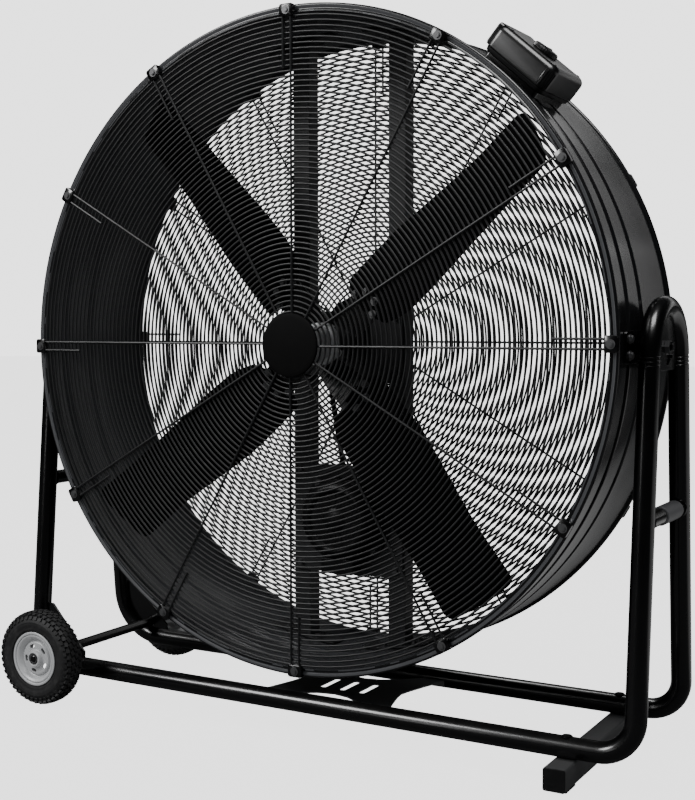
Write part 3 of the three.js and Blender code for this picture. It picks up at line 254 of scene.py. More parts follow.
groups = {  # each group and the inputs that a finish sets
    "coat": (makeCoatGroup(), ("Colour", "Gloss Roughness", "Peel Scale", "Dust")),
    "grain": (makeGrainGroup(), ("Colour", "Base Roughness", "Grain Scale", "Scuff")),
    "metal": (makeMetalGroup(), ("Colour", "Base Roughness", "Line Scale", "Mottle")),
}
finishes = {  # group, slot, the group's four inputs, specular level, bump strength, further values
    "framePaint": ("coat", "frame_paint", ((0.0007, 0.0007, 0.0009), 0.24, 420.0, 0.02), 0.5, 0.05,
                   {"Coat Weight": 0.3, "Coat Roughness": 0.1}),
    "drumPaint": ("coat", "drum_paint", ((0.0055, 0.0057, 0.0062), 0.2, 330.0, 0.02), 0.5, 0.05, {}),
    "bladePaint": ("coat", "blade_paint", ((0.0005, 0.0005, 0.0006), 0.58, 350.0, 0.003), 0.035, 0.05, {}),
    "wirePaint": ("coat", "grille_wire", ((0.006, 0.0062, 0.0068), 0.42, 600.0, 0.01), 0.5, 0.03, {}),
    "railPaint": ("coat", "frame_paint", ((0.024, 0.024, 0.025), 0.42, 420.0, 0.02), 0.35, 0.05, {}),
    # painted light: a much paler copy of the black frame paint, standing in for light on the shaded cross
    # plate and foot bar
    "plateLitPaint": ("coat", "frame_paint", ((0.035, 0.0353, 0.0361), 0.52, 420.0, 0.03), 0.35, 0.05, {}),
    "motorPaint": ("coat", "motor_paint", ((0.003, 0.003, 0.0034), 0.4, 260.0, 0.03), 0.35, 0.08, {}),
    "rimPaint": ("coat", "rim_paint", ((0.41, 0.414, 0.418), 0.42, 500.0, 0.2), 0.5, 0.06,
                 {"Rub": 0.4, "Metallic": 0.2}),
    "blackPlastic": ("grain", "black_plastic", ((0.003, 0.0031, 0.0034), 0.4, 1100.0, 0.02), 0.35, 0.05, {}),
    "boxPlastic": ("grain", "black_plastic", ((0.0015, 0.0016, 0.0018), 0.3, 1100.0, 0.02), 0.6, 0.05,
                   {"Coat Weight": 0.15, "Coat Roughness": 0.2}),
    "sleevePlastic": ("grain", "black_plastic", ((0.055, 0.055, 0.058), 0.5, 900.0, 0.04), 0.5, 0.05, {}),
    "discPlastic": ("grain", "black_plastic", ((0.0008, 0.0008, 0.0009), 0.6, 1100.0, 0.005), 0.1, 0.03, {}),
    "rubber": ("grain", "rubber", ((0.006, 0.006, 0.0065), 0.75, 700.0, 0.1), 0.3, 0.12, {}),
    "tyreRubber": ("grain", "tyre", ((0.0085, 0.0085, 0.009), 0.62, 500.0, 0.12), 0.45, 0.15, {}),
    "plated": ("metal", "bright_steel", ((0.5, 0.51, 0.53), 0.32, 1400.0, 0.35), 0.5, 0.03,
               {"Metallic": 1.0}),
    "blackBolt": ("metal", "bright_steel", ((0.09, 0.091, 0.094), 0.36, 1400.0, 0.3), 0.5, 0.03,
                  {"Metallic": 0.7}),
    "castMetal": ("metal", "cast_iron", ((0.02, 0.021, 0.023), 0.5, 300.0, 0.5), 0.5, 0.2, {"Metallic": 0.6}),
    "hubMetal": ("metal", "hub_steel", ((0.6, 0.61, 0.62), 0.42, 700.0, 0.5), 0.5, 0.12, {"Metallic": 0.3}),
}
# painted light: the drum's inside paint is far paler than its outside paint, standing in for light that falls
# on the interior
insidePaintedLight = (0.046, 0.047, 0.05)
materials = {}


def paintInsideLight(tree, group):  # painted light: the side of the drum that faces its axis is painted paler, standing in for light on the interior
    coords = tree.nodes.new("ShaderNodeTexCoord").outputs
    middle = (0, 0, axisZ * mm)
    centred = add(tree, "ShaderNodeVectorMath", {0: coords["Object"], 1: middle}, operation="SUBTRACT")
    arm = add(tree, "ShaderNodeVectorMath", {0: centred, 1: (1, 0, 1)}, operation="MULTIPLY")
    facing = add(tree, "ShaderNodeVectorMath", {0: arm, 1: coords["Normal"]}, operation="DOT_PRODUCT")
    inside = mathNode(tree, "LESS_THAN", facing.outputs["Value"], 0.0)
    paint = tuple(group.inputs["Colour"].default_value)[:3]
    give(tree, group.inputs["Colour"], mixColour(tree, inside, paint, insidePaintedLight))


def buildMaterials():
    for name, (kind, _, values, specular, bump, further) in finishes.items():
        material, tree, shader = newMaterial(name)
        node = tree.nodes.new("ShaderNodeGroup")
        node.node_tree, labels = groups[kind]
        further = {"Specular IOR Level": specular, **dict(zip(labels, values)), **further}
        for label, value in further.items():
            target = node.inputs if label in node.inputs else shader
            target[label].default_value = (*value, 1) if isinstance(value, tuple) else value
        sockets = {"Strength": bump, "Distance": 0.001, "Height": node.outputs["Height"]}
        relief = add(tree, "ShaderNodeBump", sockets)
        give(tree, shader["Base Color"], node.outputs["Colour"])
        give(tree, shader["Roughness"], node.outputs["Roughness"])
        give(tree, shader["Normal"], relief)
        # the drum's inside gets the paler paint that stands in for light
        if name == "drumPaint":
            paintInsideLight(tree, node)
        materials[name] = material
    print("materials:", len(materials))


# Shapes are pairs of vertices and faces, in millimetres; meshes are stored in metres.
def toMesh(name, shape, unit=mm):
    mesh = bpy.data.meshes.new(name)
    mesh.from_pydata([Vector(v) * unit for v in shape[0]], [], shape[1])
    return mesh


def cleaned(mesh, merge=1e-6):  # doubles merged, faces outward
    made = bmesh.new()
    made.from_mesh(mesh)
    if merge:
        bmesh.ops.remove_doubles(made, verts=made.verts, dist=merge)
    bmesh.ops.recalc_face_normals(made, faces=made.faces)
    made.to_mesh(mesh)
    made.free()
    return mesh


def smoothed(mesh, angle):
    for face in mesh.polygons:
        face.use_smooth = True
    mesh.set_sharp_from_angle(angle=radians(angle))
    return mesh


def placePiece(name, mesh, finish, body, stands=()):
    mesh.materials.clear()
    mesh.materials.append(materials[finish])
    piece = inScene(name, mesh)
    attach(piece, body)
    if stands:
        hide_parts(*stands)


def newPiece(name, shape, finish, body, stands=(), angle=35):
    mesh = smoothed(cleaned(toMesh(name, shape)), angle)
    placePiece(name, mesh, finish, body, stands)


def evaluated(holder):  # the mesh that an object's modifiers give
    bpy.context.view_layer.update()
    return bpy.data.meshes.new_from_object(holder.evaluated_get(bpy.context.evaluated_depsgraph_get()))


def refineNode(node, finish, body, width=0.8, segments=2):  # the CAD solid with its edges eased
    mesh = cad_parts[node].data.copy()
    made = bmesh.new()
    made.from_mesh(mesh)
    bmesh.ops.remove_doubles(made, verts=made.verts, dist=2e-6)
    bmesh.ops.dissolve_limit(made, angle_limit=radians(1.0), verts=made.verts, edges=made.edges)
    made.to_mesh(mesh)
    made.free()
    work = inScene("work", smoothed(mesh, 38))
    ease = work.modifiers.new("ease", "BEVEL")
    ease.width = width * mm
    ease.segments = segments
    ease.limit_method = "ANGLE"
    ease.angle_limit = radians(40)
    ease.use_clamp_overlap = True
    ease.harden_normals = True
    done = evaluated(work)
    bpy.data.objects.remove(work)
    placePiece("eased_" + node, done, finish, body, (node,))


def around(count):
    return [(cos(a), sin(a)) for a in (2 * pi * k / count for k in range(count))]


def skin(rows, roundRows, roundRow=True):  # faces between neighbouring rows of points
    n, m = len(rows), len(rows[0])
    faces = []
    for i in range(n if roundRows else n - 1):
        for k in range(m if roundRow else m - 1):
            a, b = (i + 1) % n, (k + 1) % m
            faces.append([i * m + k, i * m + b, a * m + b, a * m + k])
    return [p for row in rows for p in row], faces


def lathe(profile, segments=128, centre=(0, 0, 0), closed=True):  # revolves [radius, y] about the Y axis
    cx, cy, cz = centre
    rows = [[(cx + r * c, cy + y, cz + r * s) for r, y in profile] for c, s in around(segments)]
    return skin(rows, True, closed)


def capped(profile):  # closes a profile that ends on the axis
    return [(max(r, 0.001), y) for r, y in profile]


def offsets(r, y, pairs):
    return [(r + a, y + b) for a, b in pairs]


def loft(loops):  # joins loops of equal length in order, with closed ends
    verts, faces = skin(loops, False)
    n, last = len(loops[0]), len(verts)
    return verts, faces + [list(range(n))[::-1], list(range(last - n, last))]


def sweep(points, radii, sides=28, up=(0, 1, 0)):  # round bar or tube along a path, with closed ends
    pts = [Vector(p) for p in points]
    n = len(pts)
    if not hasattr(radii, "__len__"):
        radii = [radii] * n
    tangents = [(pts[min(i + 1, n - 1)] - pts[max(i - 1, 0)]).normalized() for i in range(n)]
    side = Vector(up)
    if abs(side.dot(tangents[0])) > 0.9:
        side = Vector((1, 0, 0))
    rings = []
    for p, t, r in zip(pts, tangents, radii):
        side = (side - t * side.dot(t)).normalized()
        other = t.cross(side)
        rings.append([p + (side * c + other * s) * r for c, s in around(sides)])
    return loft(rings)


def joinShapes(*shapes):
    verts, faces = [], []
    for v, f in shapes:
        base = len(verts)
        verts += [tuple(p) for p in v]
        faces += [[i + base for i in face] for face in f]
    return verts, faces


def moved(shape, matrix):
    return [matrix @ Vector(v) for v in shape[0]], shape[1]


def about(z, angle):  # a turn about a line along Y at height z
    return Matrix.Translation((0, 0, z)) @ Matrix.Rotation(angle, 4, "Y")


def spun(shape, z, count):
    return [moved(shape, about(z, 2 * pi * k / count)) for k in range(count)]


def roundedLoop(width, height, corner, steps=6):
    loop = []
    for cx, cy, start in ((1, 1, 0), (-1, 1, 90), (-1, -1, 180), (1, -1, 270)):
        for k in range(steps + 1):
            a = radians(start + 90 * k / steps)
            x, y = cx * (width / 2 - corner), cy * (height / 2 - corner)
            loop.append((x + corner * cos(a), y + corner * sin(a)))
    return loop


# Geometry node trees. Each is run once per piece, and its mesh is kept.
def newMaker(name, inputs):
    values = {"Geometry": "Geometry", **inputs, "Finish": "Material"}
    return newTree(name, "GeometryNodeTree", values, {"Geometry": "Geometry"})


def spread(tree, carrier, sockets):  # copies on a mesh's points, made real
    points = add(tree, "GeometryNodeMeshToPoints", {"Mesh": carrier})
    copies = add(tree, "GeometryNodeInstanceOnPoints", {"Points": points, **sockets})
    return add(tree, "GeometryNodeRealizeInstances", {"Geometry": copies})


def endMaker(tree, given, out, geometry):
    paint = add(tree, "GeometryNodeSetMaterial", {"Geometry": geometry, "Material": given["Finish"]})
    give(tree, out["Geometry"], paint)
    return tree


def makeFastenerTree():  # sets a fastener on every point of a carrier mesh, along that point's normal
    sizes = {"Head Radius": 0.008, "Head Height": 0.006, "Washer Ratio": 1.35, "Sides": 6}
    tree, given, out = newMaker("setFasteners", sizes)
    radius, height = given["Head Radius"], given["Head Height"]

    def disc(discRadius, depth, lift, sides):
        sockets = {"Radius": discRadius, "Depth": depth, "Vertices": sides}
        body = add(tree, "GeometryNodeMeshCylinder", sockets)
        offset = add(tree, "ShaderNodeCombineXYZ", {"Z": lift})
        return add(tree, "GeometryNodeTransform", {"Translation": offset, "Geometry": body})

    washerDepth = times(tree, height, 0.25)
    head = disc(radius, height, times(tree, height, 0.62), given["Sides"])
    washer = disc(times(tree, radius, given["Washer Ratio"]), washerDepth, times(tree, washerDepth, 0.5), 20)
    crown = disc(times(tree, radius, 0.78), times(tree, height, 0.18), times(tree, height, 1.16), 16)
    parts = add(tree, "GeometryNodeJoinGeometry", {"Geometry": [head, washer, crown]})
    normal = add(tree, "GeometryNodeInputNamedAttribute", {"Name": "facing"}, data_type="FLOAT_VECTOR")
    align = add(tree, "FunctionNodeAlignRotationToVector", {"Vector": normal}, axis="Z")
    return endMaker(tree, given, out, spread(tree, given["Geometry"], {"Instance": parts, "Rotation": align}))


def makeTreadTree():  # one row of lugs around a tyre
    names = ("Radius", "Row Offset", "Lug Length", "Lug Width", "Lug Height", "Phase", "Skew", "Tilt")
    sizes = dict(zip(names, (0.1, 0.0, 0.012, 0.012, 0.006, 0.0, 0.0, 0.0)))
    tree, given, out = newMaker("treadLugs", {**sizes, "Count": 30})

    def vector(x=0.0, y=0.0, z=0.0):
        return add(tree, "ShaderNodeCombineXYZ", {"X": x, "Y": y, "Z": z})

    line = add(tree, "GeometryNodeMeshLine", {"Count": given["Count"]})
    share = mathNode(tree, "DIVIDE", tree.nodes.new("GeometryNodeInputIndex"), given["Count"])
    angle = times(tree, mathNode(tree, "ADD", share, given["Phase"]), 2 * pi)
    x, z = (times(tree, mathNode(tree, name, angle), given["Radius"]) for name in ("COSINE", "SINE"))
    place = vector(x, given["Row Offset"], z)
    put = add(tree, "GeometryNodeSetPosition", {"Geometry": line, "Position": place})
    size = vector(given["Lug Height"], given["Lug Width"], given["Lug Length"])
    lug = add(tree, "GeometryNodeMeshCube", {"Size": size})
    tilted = add(tree, "GeometryNodeTransform", {"Geometry": lug, "Rotation": vector(z=given["Tilt"])})
    turn = add(tree, "FunctionNodeEulerToRotation", {0: vector(given["Skew"], times(tree, angle, -1.0))})
    return endMaker(tree, given, out, spread(tree, put, {"Instance": tilted, "Rotation": turn}))


def makeRingTree():  # concentric rings of wire
    sizes = {"First Radius": 0.063, "Pitch": 0.0099, "Wire Radius": 0.0016, "Rings": 56, "Ring Steps": 120}
    tree, given, out = newMaker("ringWires", sizes)
    line = add(tree, "GeometryNodeMeshLine", {"Count": given["Rings"], "Offset": (0, 0, 0)})
    ring = add(tree, "GeometryNodeCurvePrimitiveCircle", {"Resolution": given["Ring Steps"], "Radius": 1.0})
    grown = times(tree, tree.nodes.new("GeometryNodeInputIndex"), given["Pitch"])
    radius = mathNode(tree, "ADD", grown, given["First Radius"])
    rings = spread(tree, line, {"Instance": ring, "Scale": radius})
    section = add(tree, "GeometryNodeCurvePrimitiveCircle", {"Resolution": 6, "Radius": given["Wire Radius"]})
    wires = add(tree, "GeometryNodeCurveToMesh", {"Curve": rings, "Profile Curve": section})
    return endMaker(tree, given, out, wires)


def runTree(tree, carrier, values, finish):
    work = inScene("work", carrier)
    maker = work.modifiers.new("maker", "NODES")
    maker.node_group = tree
    sockets = {item.name: item.identifier for item in tree.interface.items_tree if item.in_out == "INPUT"}
    for label, value in {**values, "Finish": materials[finish]}.items():
        maker[sockets[label]] = value
    mesh = evaluated(work)
    bpy.data.objects.remove(work)
    return mesh


def onePoint():
    return toMesh("carrier", ([(0, 0, 0)], []))


def setFasteners(name, places, radius, height, body, finish="blackBolt", sides=6, washer=1.35):
    carrier = toMesh(name, ([p for p, _ in places], []))
    facing = carrier.attributes.new("facing", "FLOAT_VECTOR", "POINT")
    for item, (_, direction) in zip(facing.data, places):
        item.vector = Vector(direction).normalized()
    values = {"Head Radius": radius * mm, "Head Height": height * mm, "Washer Ratio": washer, "Sides": sides}
    placePiece(name, smoothed(runTree(fastenerTree, carrier, values, finish), 30), finish, body)


stand = {
    "tubeRadius": 19.0, "legX": 659.0, "baseY": 145.0, "baseZ": 64.3, "bend": 100.0, "tightBend": 64.0,
    "bow": 88.0, "bowZ": 732.0, "jointZ": 712.0, "braceZ": 455.0, "braceRadius": 14.5, "sleeveRadius": 17.0,
    "swages": (719.0, 726.0, 733.0), "footBarX": 540.0, "weldRadius": 15.5, "weldDip": 2.6,
}
stand["lean"] = atan2(stand["baseY"], stand["bowZ"] - stand["baseZ"]) - asin(
    stand["bow"] / hypot(stand["baseY"], stand["bowZ"] - stand["baseZ"]))


def arcPoints(centre, radius, start, end, across, up, steps):
    made = []
    for k in range(steps + 1):
        a = radians(start + (end - start) * k / steps)
        point = Vector(centre) + Vector(across) * radius * cos(a)
        made.append(point + Vector(up) * radius * sin(a))
    return made


def frameTube(side, name):
    legX, r, q = stand["legX"], stand["bend"], stand["tightBend"]
    top = (stand["jointZ"] - stand["baseZ"]) / cos(stand["lean"])
    path = [Vector((-legX, 0, z)) for z in (top, 500, 350, 200)]
    path += arcPoints((r - legX, 0, r), r, 180, 270, (1, 0, 0), (0, 0, 1), 14)
    path += [Vector((x, 0, 0)) for x in (-350, -120, 120, 350)]
    path += arcPoints((legX - q, 0, q), q, 270, 360, (1, 0, 0), (0, 0, 1), 14)
    path += [Vector((legX, 0, z)) for z in (200, 350, 500, top)]
    turn = Matrix.Rotation(side * stand["lean"], 4, "X")
    place = Matrix.Translation((0, side * stand["baseY"], stand["baseZ"])) @ turn
    shape = sweep([place @ p for p in path], stand["tubeRadius"], 32)
    newPiece(name + "_loop", shape, "framePaint", "stand", (name + "_frame_tube",), 30)


def bowTube(side, name):
    lean, slope = degrees(stand["lean"]), tan(stand["lean"])
    centre = (side * stand["legX"], 0, stand["bowZ"])
    arc = arcPoints(centre, stand["bow"], 180 - lean, lean, (0, 1, 0), (0, 0, 1), 40)
    first = arc[0]
    stations = [(stand["jointZ"] + 0.1, 0.0)]
    for z in stand["swages"]:
        stations += [(z - 1.8, 0.0), (z - 0.9, -0.9), (z + 0.9, -0.9), (z + 1.8, 0.0)]
    near = [Vector((first.x, first.y - (first.z - z) * slope, z)) for z, _ in stations]
    far = [Vector((p.x, -p.y, p.z)) for p in reversed(near)]
    grows = [grow for _, grow in stations]
    radii = [stand["tubeRadius"] + grow for grow in grows + [0.0] * len(arc) + grows[::-1]]
    shape = sweep(near + arc + far, radii, 32, (1, 0, 0))
    newPiece(name + "_bow_tube", shape, "framePaint", "stand", (name + "_bow",), 30)


def braceReach():  # where the legs' inner faces are at the brace's height
    rise = stand["braceZ"] - stand["baseZ"]
    return stand["baseY"] - rise * tan(stand["lean"]) - stand["tubeRadius"]


def braceTube(side, name):
    x, z, s = side * stand["legX"], stand["braceZ"], stand["sleeveRadius"]
    reach = braceReach() + 2
    rod = sweep([(x, -reach, z), (x, reach, z)], stand["braceRadius"], 32, (1, 0, 0))
    newPiece(name + "_brace_tube", rod, "framePaint", "stand", (name + "_brace",), 30)
    ends = [(-18, s - 2.5), (-17.6, s - 0.8), (-16.5, s), (74, s), (78, s - 0.8), (80.5, s - 3), (81, s - 6)]
    sleeve = sweep([(x, y, z) for y, _ in ends], [q for _, q in ends], 40, (1, 0, 0))
    newPiece(name + "_brace_sleeve", sleeve, "sleevePlastic", "stand", angle=30)


def weldBeads():
    shapes = []
    z, y, r = stand["braceZ"], braceReach() + 1, stand["weldRadius"]
    for side, end in product((-1, 1), repeat=2):
        ring = []
        for k in range(25):
            a = 2 * pi * k / 24
            dip = stand["weldDip"] * cos(a) ** 2
            ring.append((side * stand["legX"] + r * cos(a), end * (y + dip), z + r * sin(a)))
        shapes.append(sweep(ring, 2.2, 8))
    newPiece("brace_welds", joinShapes(*shapes), "framePaint", "stand", angle=60)


def buildStand():
    for side, name in ((-1, "front"), (1, "rear")):
        frameTube(side, name)
    for side, name in ((-1, "left"), (1, "right")):
        bowTube(side, name)
        braceTube(side, name)
        refineNode(name + "_pivot_plate", "framePaint", "stand", 0.9)
    weldBeads()
    # cross plate and foot bar get the paler paint that stands in for light
    refineNode("cross_plate", "plateLitPaint", "stand", 0.8)
    refineNode("foot_bar", "plateLitPaint", "stand", 1.2)
    for end in ("front", "rear"):
        refineNode(end + "_bar_cap", "blackPlastic", "stand", 1.0)
        refineNode(end + "_foot_pad", "rubber", "stand", 1.2)
        refineNode(end + "_gusset", "framePaint", "stand", 0.8)
    top = stand["baseZ"] + stand["tubeRadius"] - 1
    places = [((stand["footBarX"], side * stand["baseY"], top), (0, 0, 1)) for side in (-1, 1)]
    setFasteners("foot_bolts", places, 8.5, 2.4, "stand", "framePaint", 16, 1.25)
    print("stand built")


wheel = {
    "x": -580.0, "z": 98.0, "y": 227.0, "radius": 98.0, "half": 25.0, "rim": 56.0, "hub": 16.0,
    "recess": 12.0, "axle": 7.0, "axleTube": 10.0, "axleEnd": 252.3, "lugs": 44, "lugHeight": 5.0,
    "slots": 5, "slotArm": 26.0, "slotPhase": 41.0,
    "slot": (13.5, 7.0, 3.2, 5),  # length, width, corner and its steps
    "rows": (  # radius, offset, length, width, phase, skew and tilt of each row of lugs
        (95.3, 0, 9.6, 8.0, 0.0, 0.35, 0), (94.7, 9.6, 8.6, 7.4, 0.5, -0.3, 8),
        (91.2, 17.6, 8.2, 6.6, 0.0, 0.25, 28), (84.8, 21.2, 6.4, 7.3, 0.5, 0.0, 58)),
}


def treadRow(tree, radius, offset, length, width, phase, skew, tilt):
    lengths = {"Radius": radius, "Row Offset": offset, "Lug Length": length, "Lug Width": width,
               "Lug Height": wheel["lugHeight"]}
    values = {label: value * mm for label, value in lengths.items()}
    values.update({"Phase": phase / wheel["lugs"], "Skew": skew, "Tilt": radians(tilt)})
    values["Count"] = wheel["lugs"]
    mesh = runTree(tree, onePoint(), values, "tyreRubber")
    return [v.co / mm for v in mesh.vertices], [list(p.vertices) for p in mesh.polygons]


def tyreShape():
    h, r, rim = wheel["half"], wheel["radius"], wheel["rim"]
    profile = offsets(rim, -h, (
        (-8, 12), (0.4, 5), (2, 4.2), (3.4, 4), (4.4, 2.2), (6.5, 1.6), (8, 1.9), (12, 0.5), (17, 0),
        (19, 0.3), (20, 0), (21, 0.4), (26, 2.0)))
    profile += offsets(r, -h, ((-11.5, 4.8), (-8, 8), (-5.2, 12), (-3.6, 17), (-3.0, 21))) + [(r - 2.8, 0)]
    profile += [(a, -b) for a, b in reversed(profile[:-1])]
    return lathe(profile, 128)


def rimShape():
    h, rim, hub, bore = wheel["half"], wheel["rim"], wheel["hub"], wheel["axle"] + 0.4
    front = offsets(rim, -h, (
        (-8.3, 12.4), (-0.6, 4.8), (0, 3.4), (-0.4, 2.3), (-1.6, 1.6), (-3.6, 1.6), (-5.0, 2.4), (-5.5, 4.6),
        (-6.2, 4.8), (-6.9, 3.4), (-8.6, 3.0), (-11.5, 4.2), (-14, 7.6), (-16.2, 12), (-18, 13.4),
        (-20, 13.2), (-21.8, 10.4), (-23, 9.2), (-24.6, 8.9)))
    front += offsets(hub, -h, ((3, 9), (1, 7), (0.2, 2), (-0.8, 0.4), (-2.4, 0), (-3.6, 0.5)))
    front += [(wheel["recess"], -h + 2), (wheel["recess"], -h + 5), (bore, -h + 5)]
    back = [(bore, h), (hub - 0.8, h), (hub, h - 0.8), (hub + 0.4, -h + 14), (hub + 4, -h + 12)]
    back += offsets(rim, -h, ((-24, 12.4), (-18, 17), (-16.6, 20)))
    back += offsets(rim, h, ((-16.3, -8), (-11.3, -2), (-1.6, -1.6), (0, -3.4), (-0.6, -4.8), (-8.3, -12.4)))
    return lathe(front + back, 112)


def slottedRim():
    h, arm = wheel["half"], wheel["slotArm"]
    outline = roundedLoop(*wheel["slot"])
    loops = [[(x * mm, y * mm, (arm + z) * mm) for x, z in outline] for y in (-h + 2, -h + 16)]
    cutters = []
    for k in range(wheel["slots"]):
        angle = wheel["slotPhase"] + 360 * k / wheel["slots"] - 90
        cutters.append(moved(loft(loops), Matrix.Rotation(-radians(angle), 4, "Y")))
    tool = inScene("tool", cleaned(toMesh("cutter", joinShapes(*cutters), 1), 0))
    piece = inScene("work", cleaned(toMesh("rimWork", rimShape()), 0))
    cut = piece.modifiers.new("cut", "BOOLEAN")
    cut.operation = "DIFFERENCE"
    cut.object = tool
    cut.solver = "EXACT"
    done = evaluated(piece)
    bpy.data.objects.remove(piece)
    bpy.data.objects.remove(tool)
    return done


def buildWheels():
    tree = makeTreadTree()
    h = wheel["half"]
    rows = []
    for radius, offset, length, width, phase, skew, tilt in wheel["rows"]:
        for side in (-1, 1) if offset else (1,):
            rows.append(treadRow(tree, radius, side * offset, length, width, phase, side * skew, side * tilt))
    tyre, slotted = joinShapes(tyreShape(), *rows), slottedRim()
    inner = wheel["axle"] + 0.5
    low, high = -h + 4.4, -h + 4.9
    bearing = lathe([(inner, low), (9.6, low), (11.6, -h + 3.4), (11.8, high), (inner, high)], 48)
    for side, name in ((-1, "front"), (1, "rear")):
        place = Matrix.Translation((wheel["x"], side * wheel["y"], wheel["z"]))
        if side > 0:
            place = place @ Matrix.Rotation(pi, 4, "Z")
        body = name + "_wheel"
        newPiece(name + "_treaded_tyre", moved(tyre, place), "tyreRubber", body, (name + "_tyre",), 40)
        mesh = slotted.copy()
        for step in (Matrix.Diagonal((1000, 1000, 1000, 1)), place, Matrix.Diagonal((mm, mm, mm, 1))):
            mesh.transform(step)
        rim = smoothed(cleaned(mesh), 35)
        placePiece(name + "_pressed_rim", rim, "rimPaint", body, (name + "_wheel_rim",))
        newPiece(name + "_wheel_bearing", moved(bearing, place), "blackBolt", body)
        refineNode(name + "_axle_nut", "blackBolt", "stand", 0.5)
    end, step, r, q = wheel["axleEnd"], wheel["y"] - h - 0.4, wheel["axle"], wheel["axleTube"]
    half = [(0, -end), (r - 1.4, -end), (r, -end + 1.2), (r, -step), (q - 0.6, -step + 0.1), (q, -step + 0.8)]
    profile = capped(half + [(a, -b) for a, b in reversed(half)])
    rod = lathe(profile, 48, (wheel["x"], 0, wheel["z"]), False)
    newPiece("axle_rod", rod, "framePaint", "stand", ("axle",))
    print("wheels built")


drum = {
    "radius": 624.0, "front": -163.0, "rear": 163.0, "grooves": (-90.0, -14.0), "grooveDepth": 6.6,
    "grooveHalf": 10.0, "wall": 2.4, "segments": 288, "lip": 613.5, "rollRadius": 4.5, "rollY": 4.8,
}


def grooveSteps(y, radius, backwards=False):  # a V with eased shoulders and an eased bottom
    half, deep = drum["grooveHalf"], drum["grooveDepth"]
    falls = ((-1.25, 0), (-1, 0), (-0.88, 0.05), (-0.76, 0.2), (-0.6, 0.46), (-0.4, 0.76), (-0.2, 0.95),
             (0, 1))
    made = [(radius - deep * fall, y + half * u) for u, fall in falls]
    made += [(r, 2 * y - a) for r, a in made[-2::-1]]
    return made[::-1] if backwards else made


def rolledRim(y):
    roll, steps = drum["rollRadius"], [radians(-90 + 180 * k / 8) for k in range(9)]
    return [(drum["radius"] + 1.5 + roll * cos(a), y + roll * sin(a) * 1.06) for a in steps]


def drumShape():
    r, w, front, rear, lip = (drum[key] for key in ("radius", "wall", "front", "rear", "lip"))
    profile = [(lip, front + 1.2), (614.3, front), (616.6, front), (618.4, front + 1.8), (620.2, front + 2.2),
               (621.4, front + 1.6)] + rolledRim(front + drum["rollY"])
    profile += [(r + 0.2, front + 10.2), (r, front + 12), (r, front + 14)]
    for y in drum["grooves"]:
        profile += grooveSteps(y, r)
    profile += [(r, rear - 14), (r, rear - 12), (r + 0.2, rear - 10.2)] + rolledRim(rear - drum["rollY"])
    profile += [(lip, rear), (lip, rear - 2), (r - w - 1, rear - 3), (r - w, rear - 5)]
    for y in reversed(drum["grooves"]):
        profile += grooveSteps(y, r - w, True)
    profile += [(r - w, front + 5), (r - w - 1, front + 3), (lip, front + 2)]
    return lathe(profile, drum["segments"], drumAxis)


grille = {
    "firstRing": 63.0, "pitch": 9.9, "rings": 56, "ringSteps": 144, "wire": 2.15, "spokeWire": 2.15,
    "spokes": 12, "spokeInner": 57.0, "spokeOuter": 622.0, "main": 2.0, "twin": -15.0, "twinLength": 108.0,
    "clip": (29.0, 23.0, 2.0), "clipArm": 618.5, "clipFoot": 163.1, "inset": 163.3, "discY": -171.0,
}


def spokeShapes(side):  # spokes, short twin wires and clips of one grille
    thick, outer = grille["spokeWire"], grille["spokeOuter"]
    spokeY = side * (grille["inset"] + 2 * grille["wire"] + thick - 0.4)
    w, l, t = grille["clip"]
    main, twin = -side * grille["main"], -side * grille["twin"]
    middle, arm = (main + twin) / 2, grille["clipArm"]
    y0 = spokeY + side * (thick - 0.3)
    foot = side * grille["clipFoot"]
    loops = []
    for y, inset in ((foot, 0.8), (foot + side * 0.9, 0), (y0 + side * (t - 0.5), 0), (y0 + side * t, 0.6)):
        loops.append([(middle + a, y, arm + b) for a, b in roundedLoop(w - 2 * inset, l - 2 * inset, 4.5, 4)])
    spokes, clips, screws = [], [], []
    for k in range(grille["spokes"]):
        place = about(axisZ, 2 * pi * k / grille["spokes"])
        for x, start in ((main, grille["spokeInner"]), (twin, outer - grille["twinLength"])):
            spokes.append(moved(sweep([(x, spokeY, start), (x, spokeY, outer)], thick, 8), place))
        clips.append(moved(loft(loops), place))
        screws.append((place @ Vector((middle, y0 + side * t, arm)), (0, side, 0)))
    return joinShapes(*spokes), joinShapes(*clips), screws


def discShape(radius=60.0, height=8.0, steps=10):  # a domed cap that bulges forward
    edge = [(0.001, 0)]
    edge += offsets(radius, 0, ((-2.5, 0), (-0.4, 0), (0, -1.0), (0, -4.2), (-0.8, -5.4)))
    for k in range(steps + 1):
        u = k / steps
        edge.append(((radius - 3.0) * (1 - u) + 0.001, -(5.9 + (height - 5.9) * (1 - (1 - u) ** 2))))
    return lathe(edge, 96, (0, grille["discY"], axisZ), False)


def buildGrilles():
    tree = makeRingTree()
    lengths = {"First Radius": "firstRing", "Pitch": "pitch", "Wire Radius": "wire"}
    values = {label: grille[key] * mm for label, key in lengths.items()}
    values.update({"Rings": grille["rings"], "Ring Steps": grille["ringSteps"]})
    for side, name in ((-1, "front"), (1, "rear")):
        mesh = runTree(tree, onePoint(), values, "wirePaint")
        ringY = side * (grille["inset"] + grille["wire"])
        mesh.transform(Matrix.Translation((0, ringY * mm, axisZ * mm)) @ Matrix.Rotation(pi / 2, 4, "X"))
        placePiece(name + "_ring_wires", smoothed(mesh, 180), "wirePaint", "drum", (name + "_grille",))
        spokes, clips, screws = spokeShapes(side)
        newPiece(name + "_spoke_wires", spokes, "wirePaint", "drum", angle=40)
        newPiece(name + "_grille_clips", clips, "framePaint", "drum", angle=40)
        setFasteners(name + "_clip_screws", screws, 4.8, 2.6, "drum", "blackBolt", 12, 1.7)
    newPiece("bare_centre_disc", discShape(), "discPlastic", "drum", ("centre_disc",), 30)
    print("grilles built")


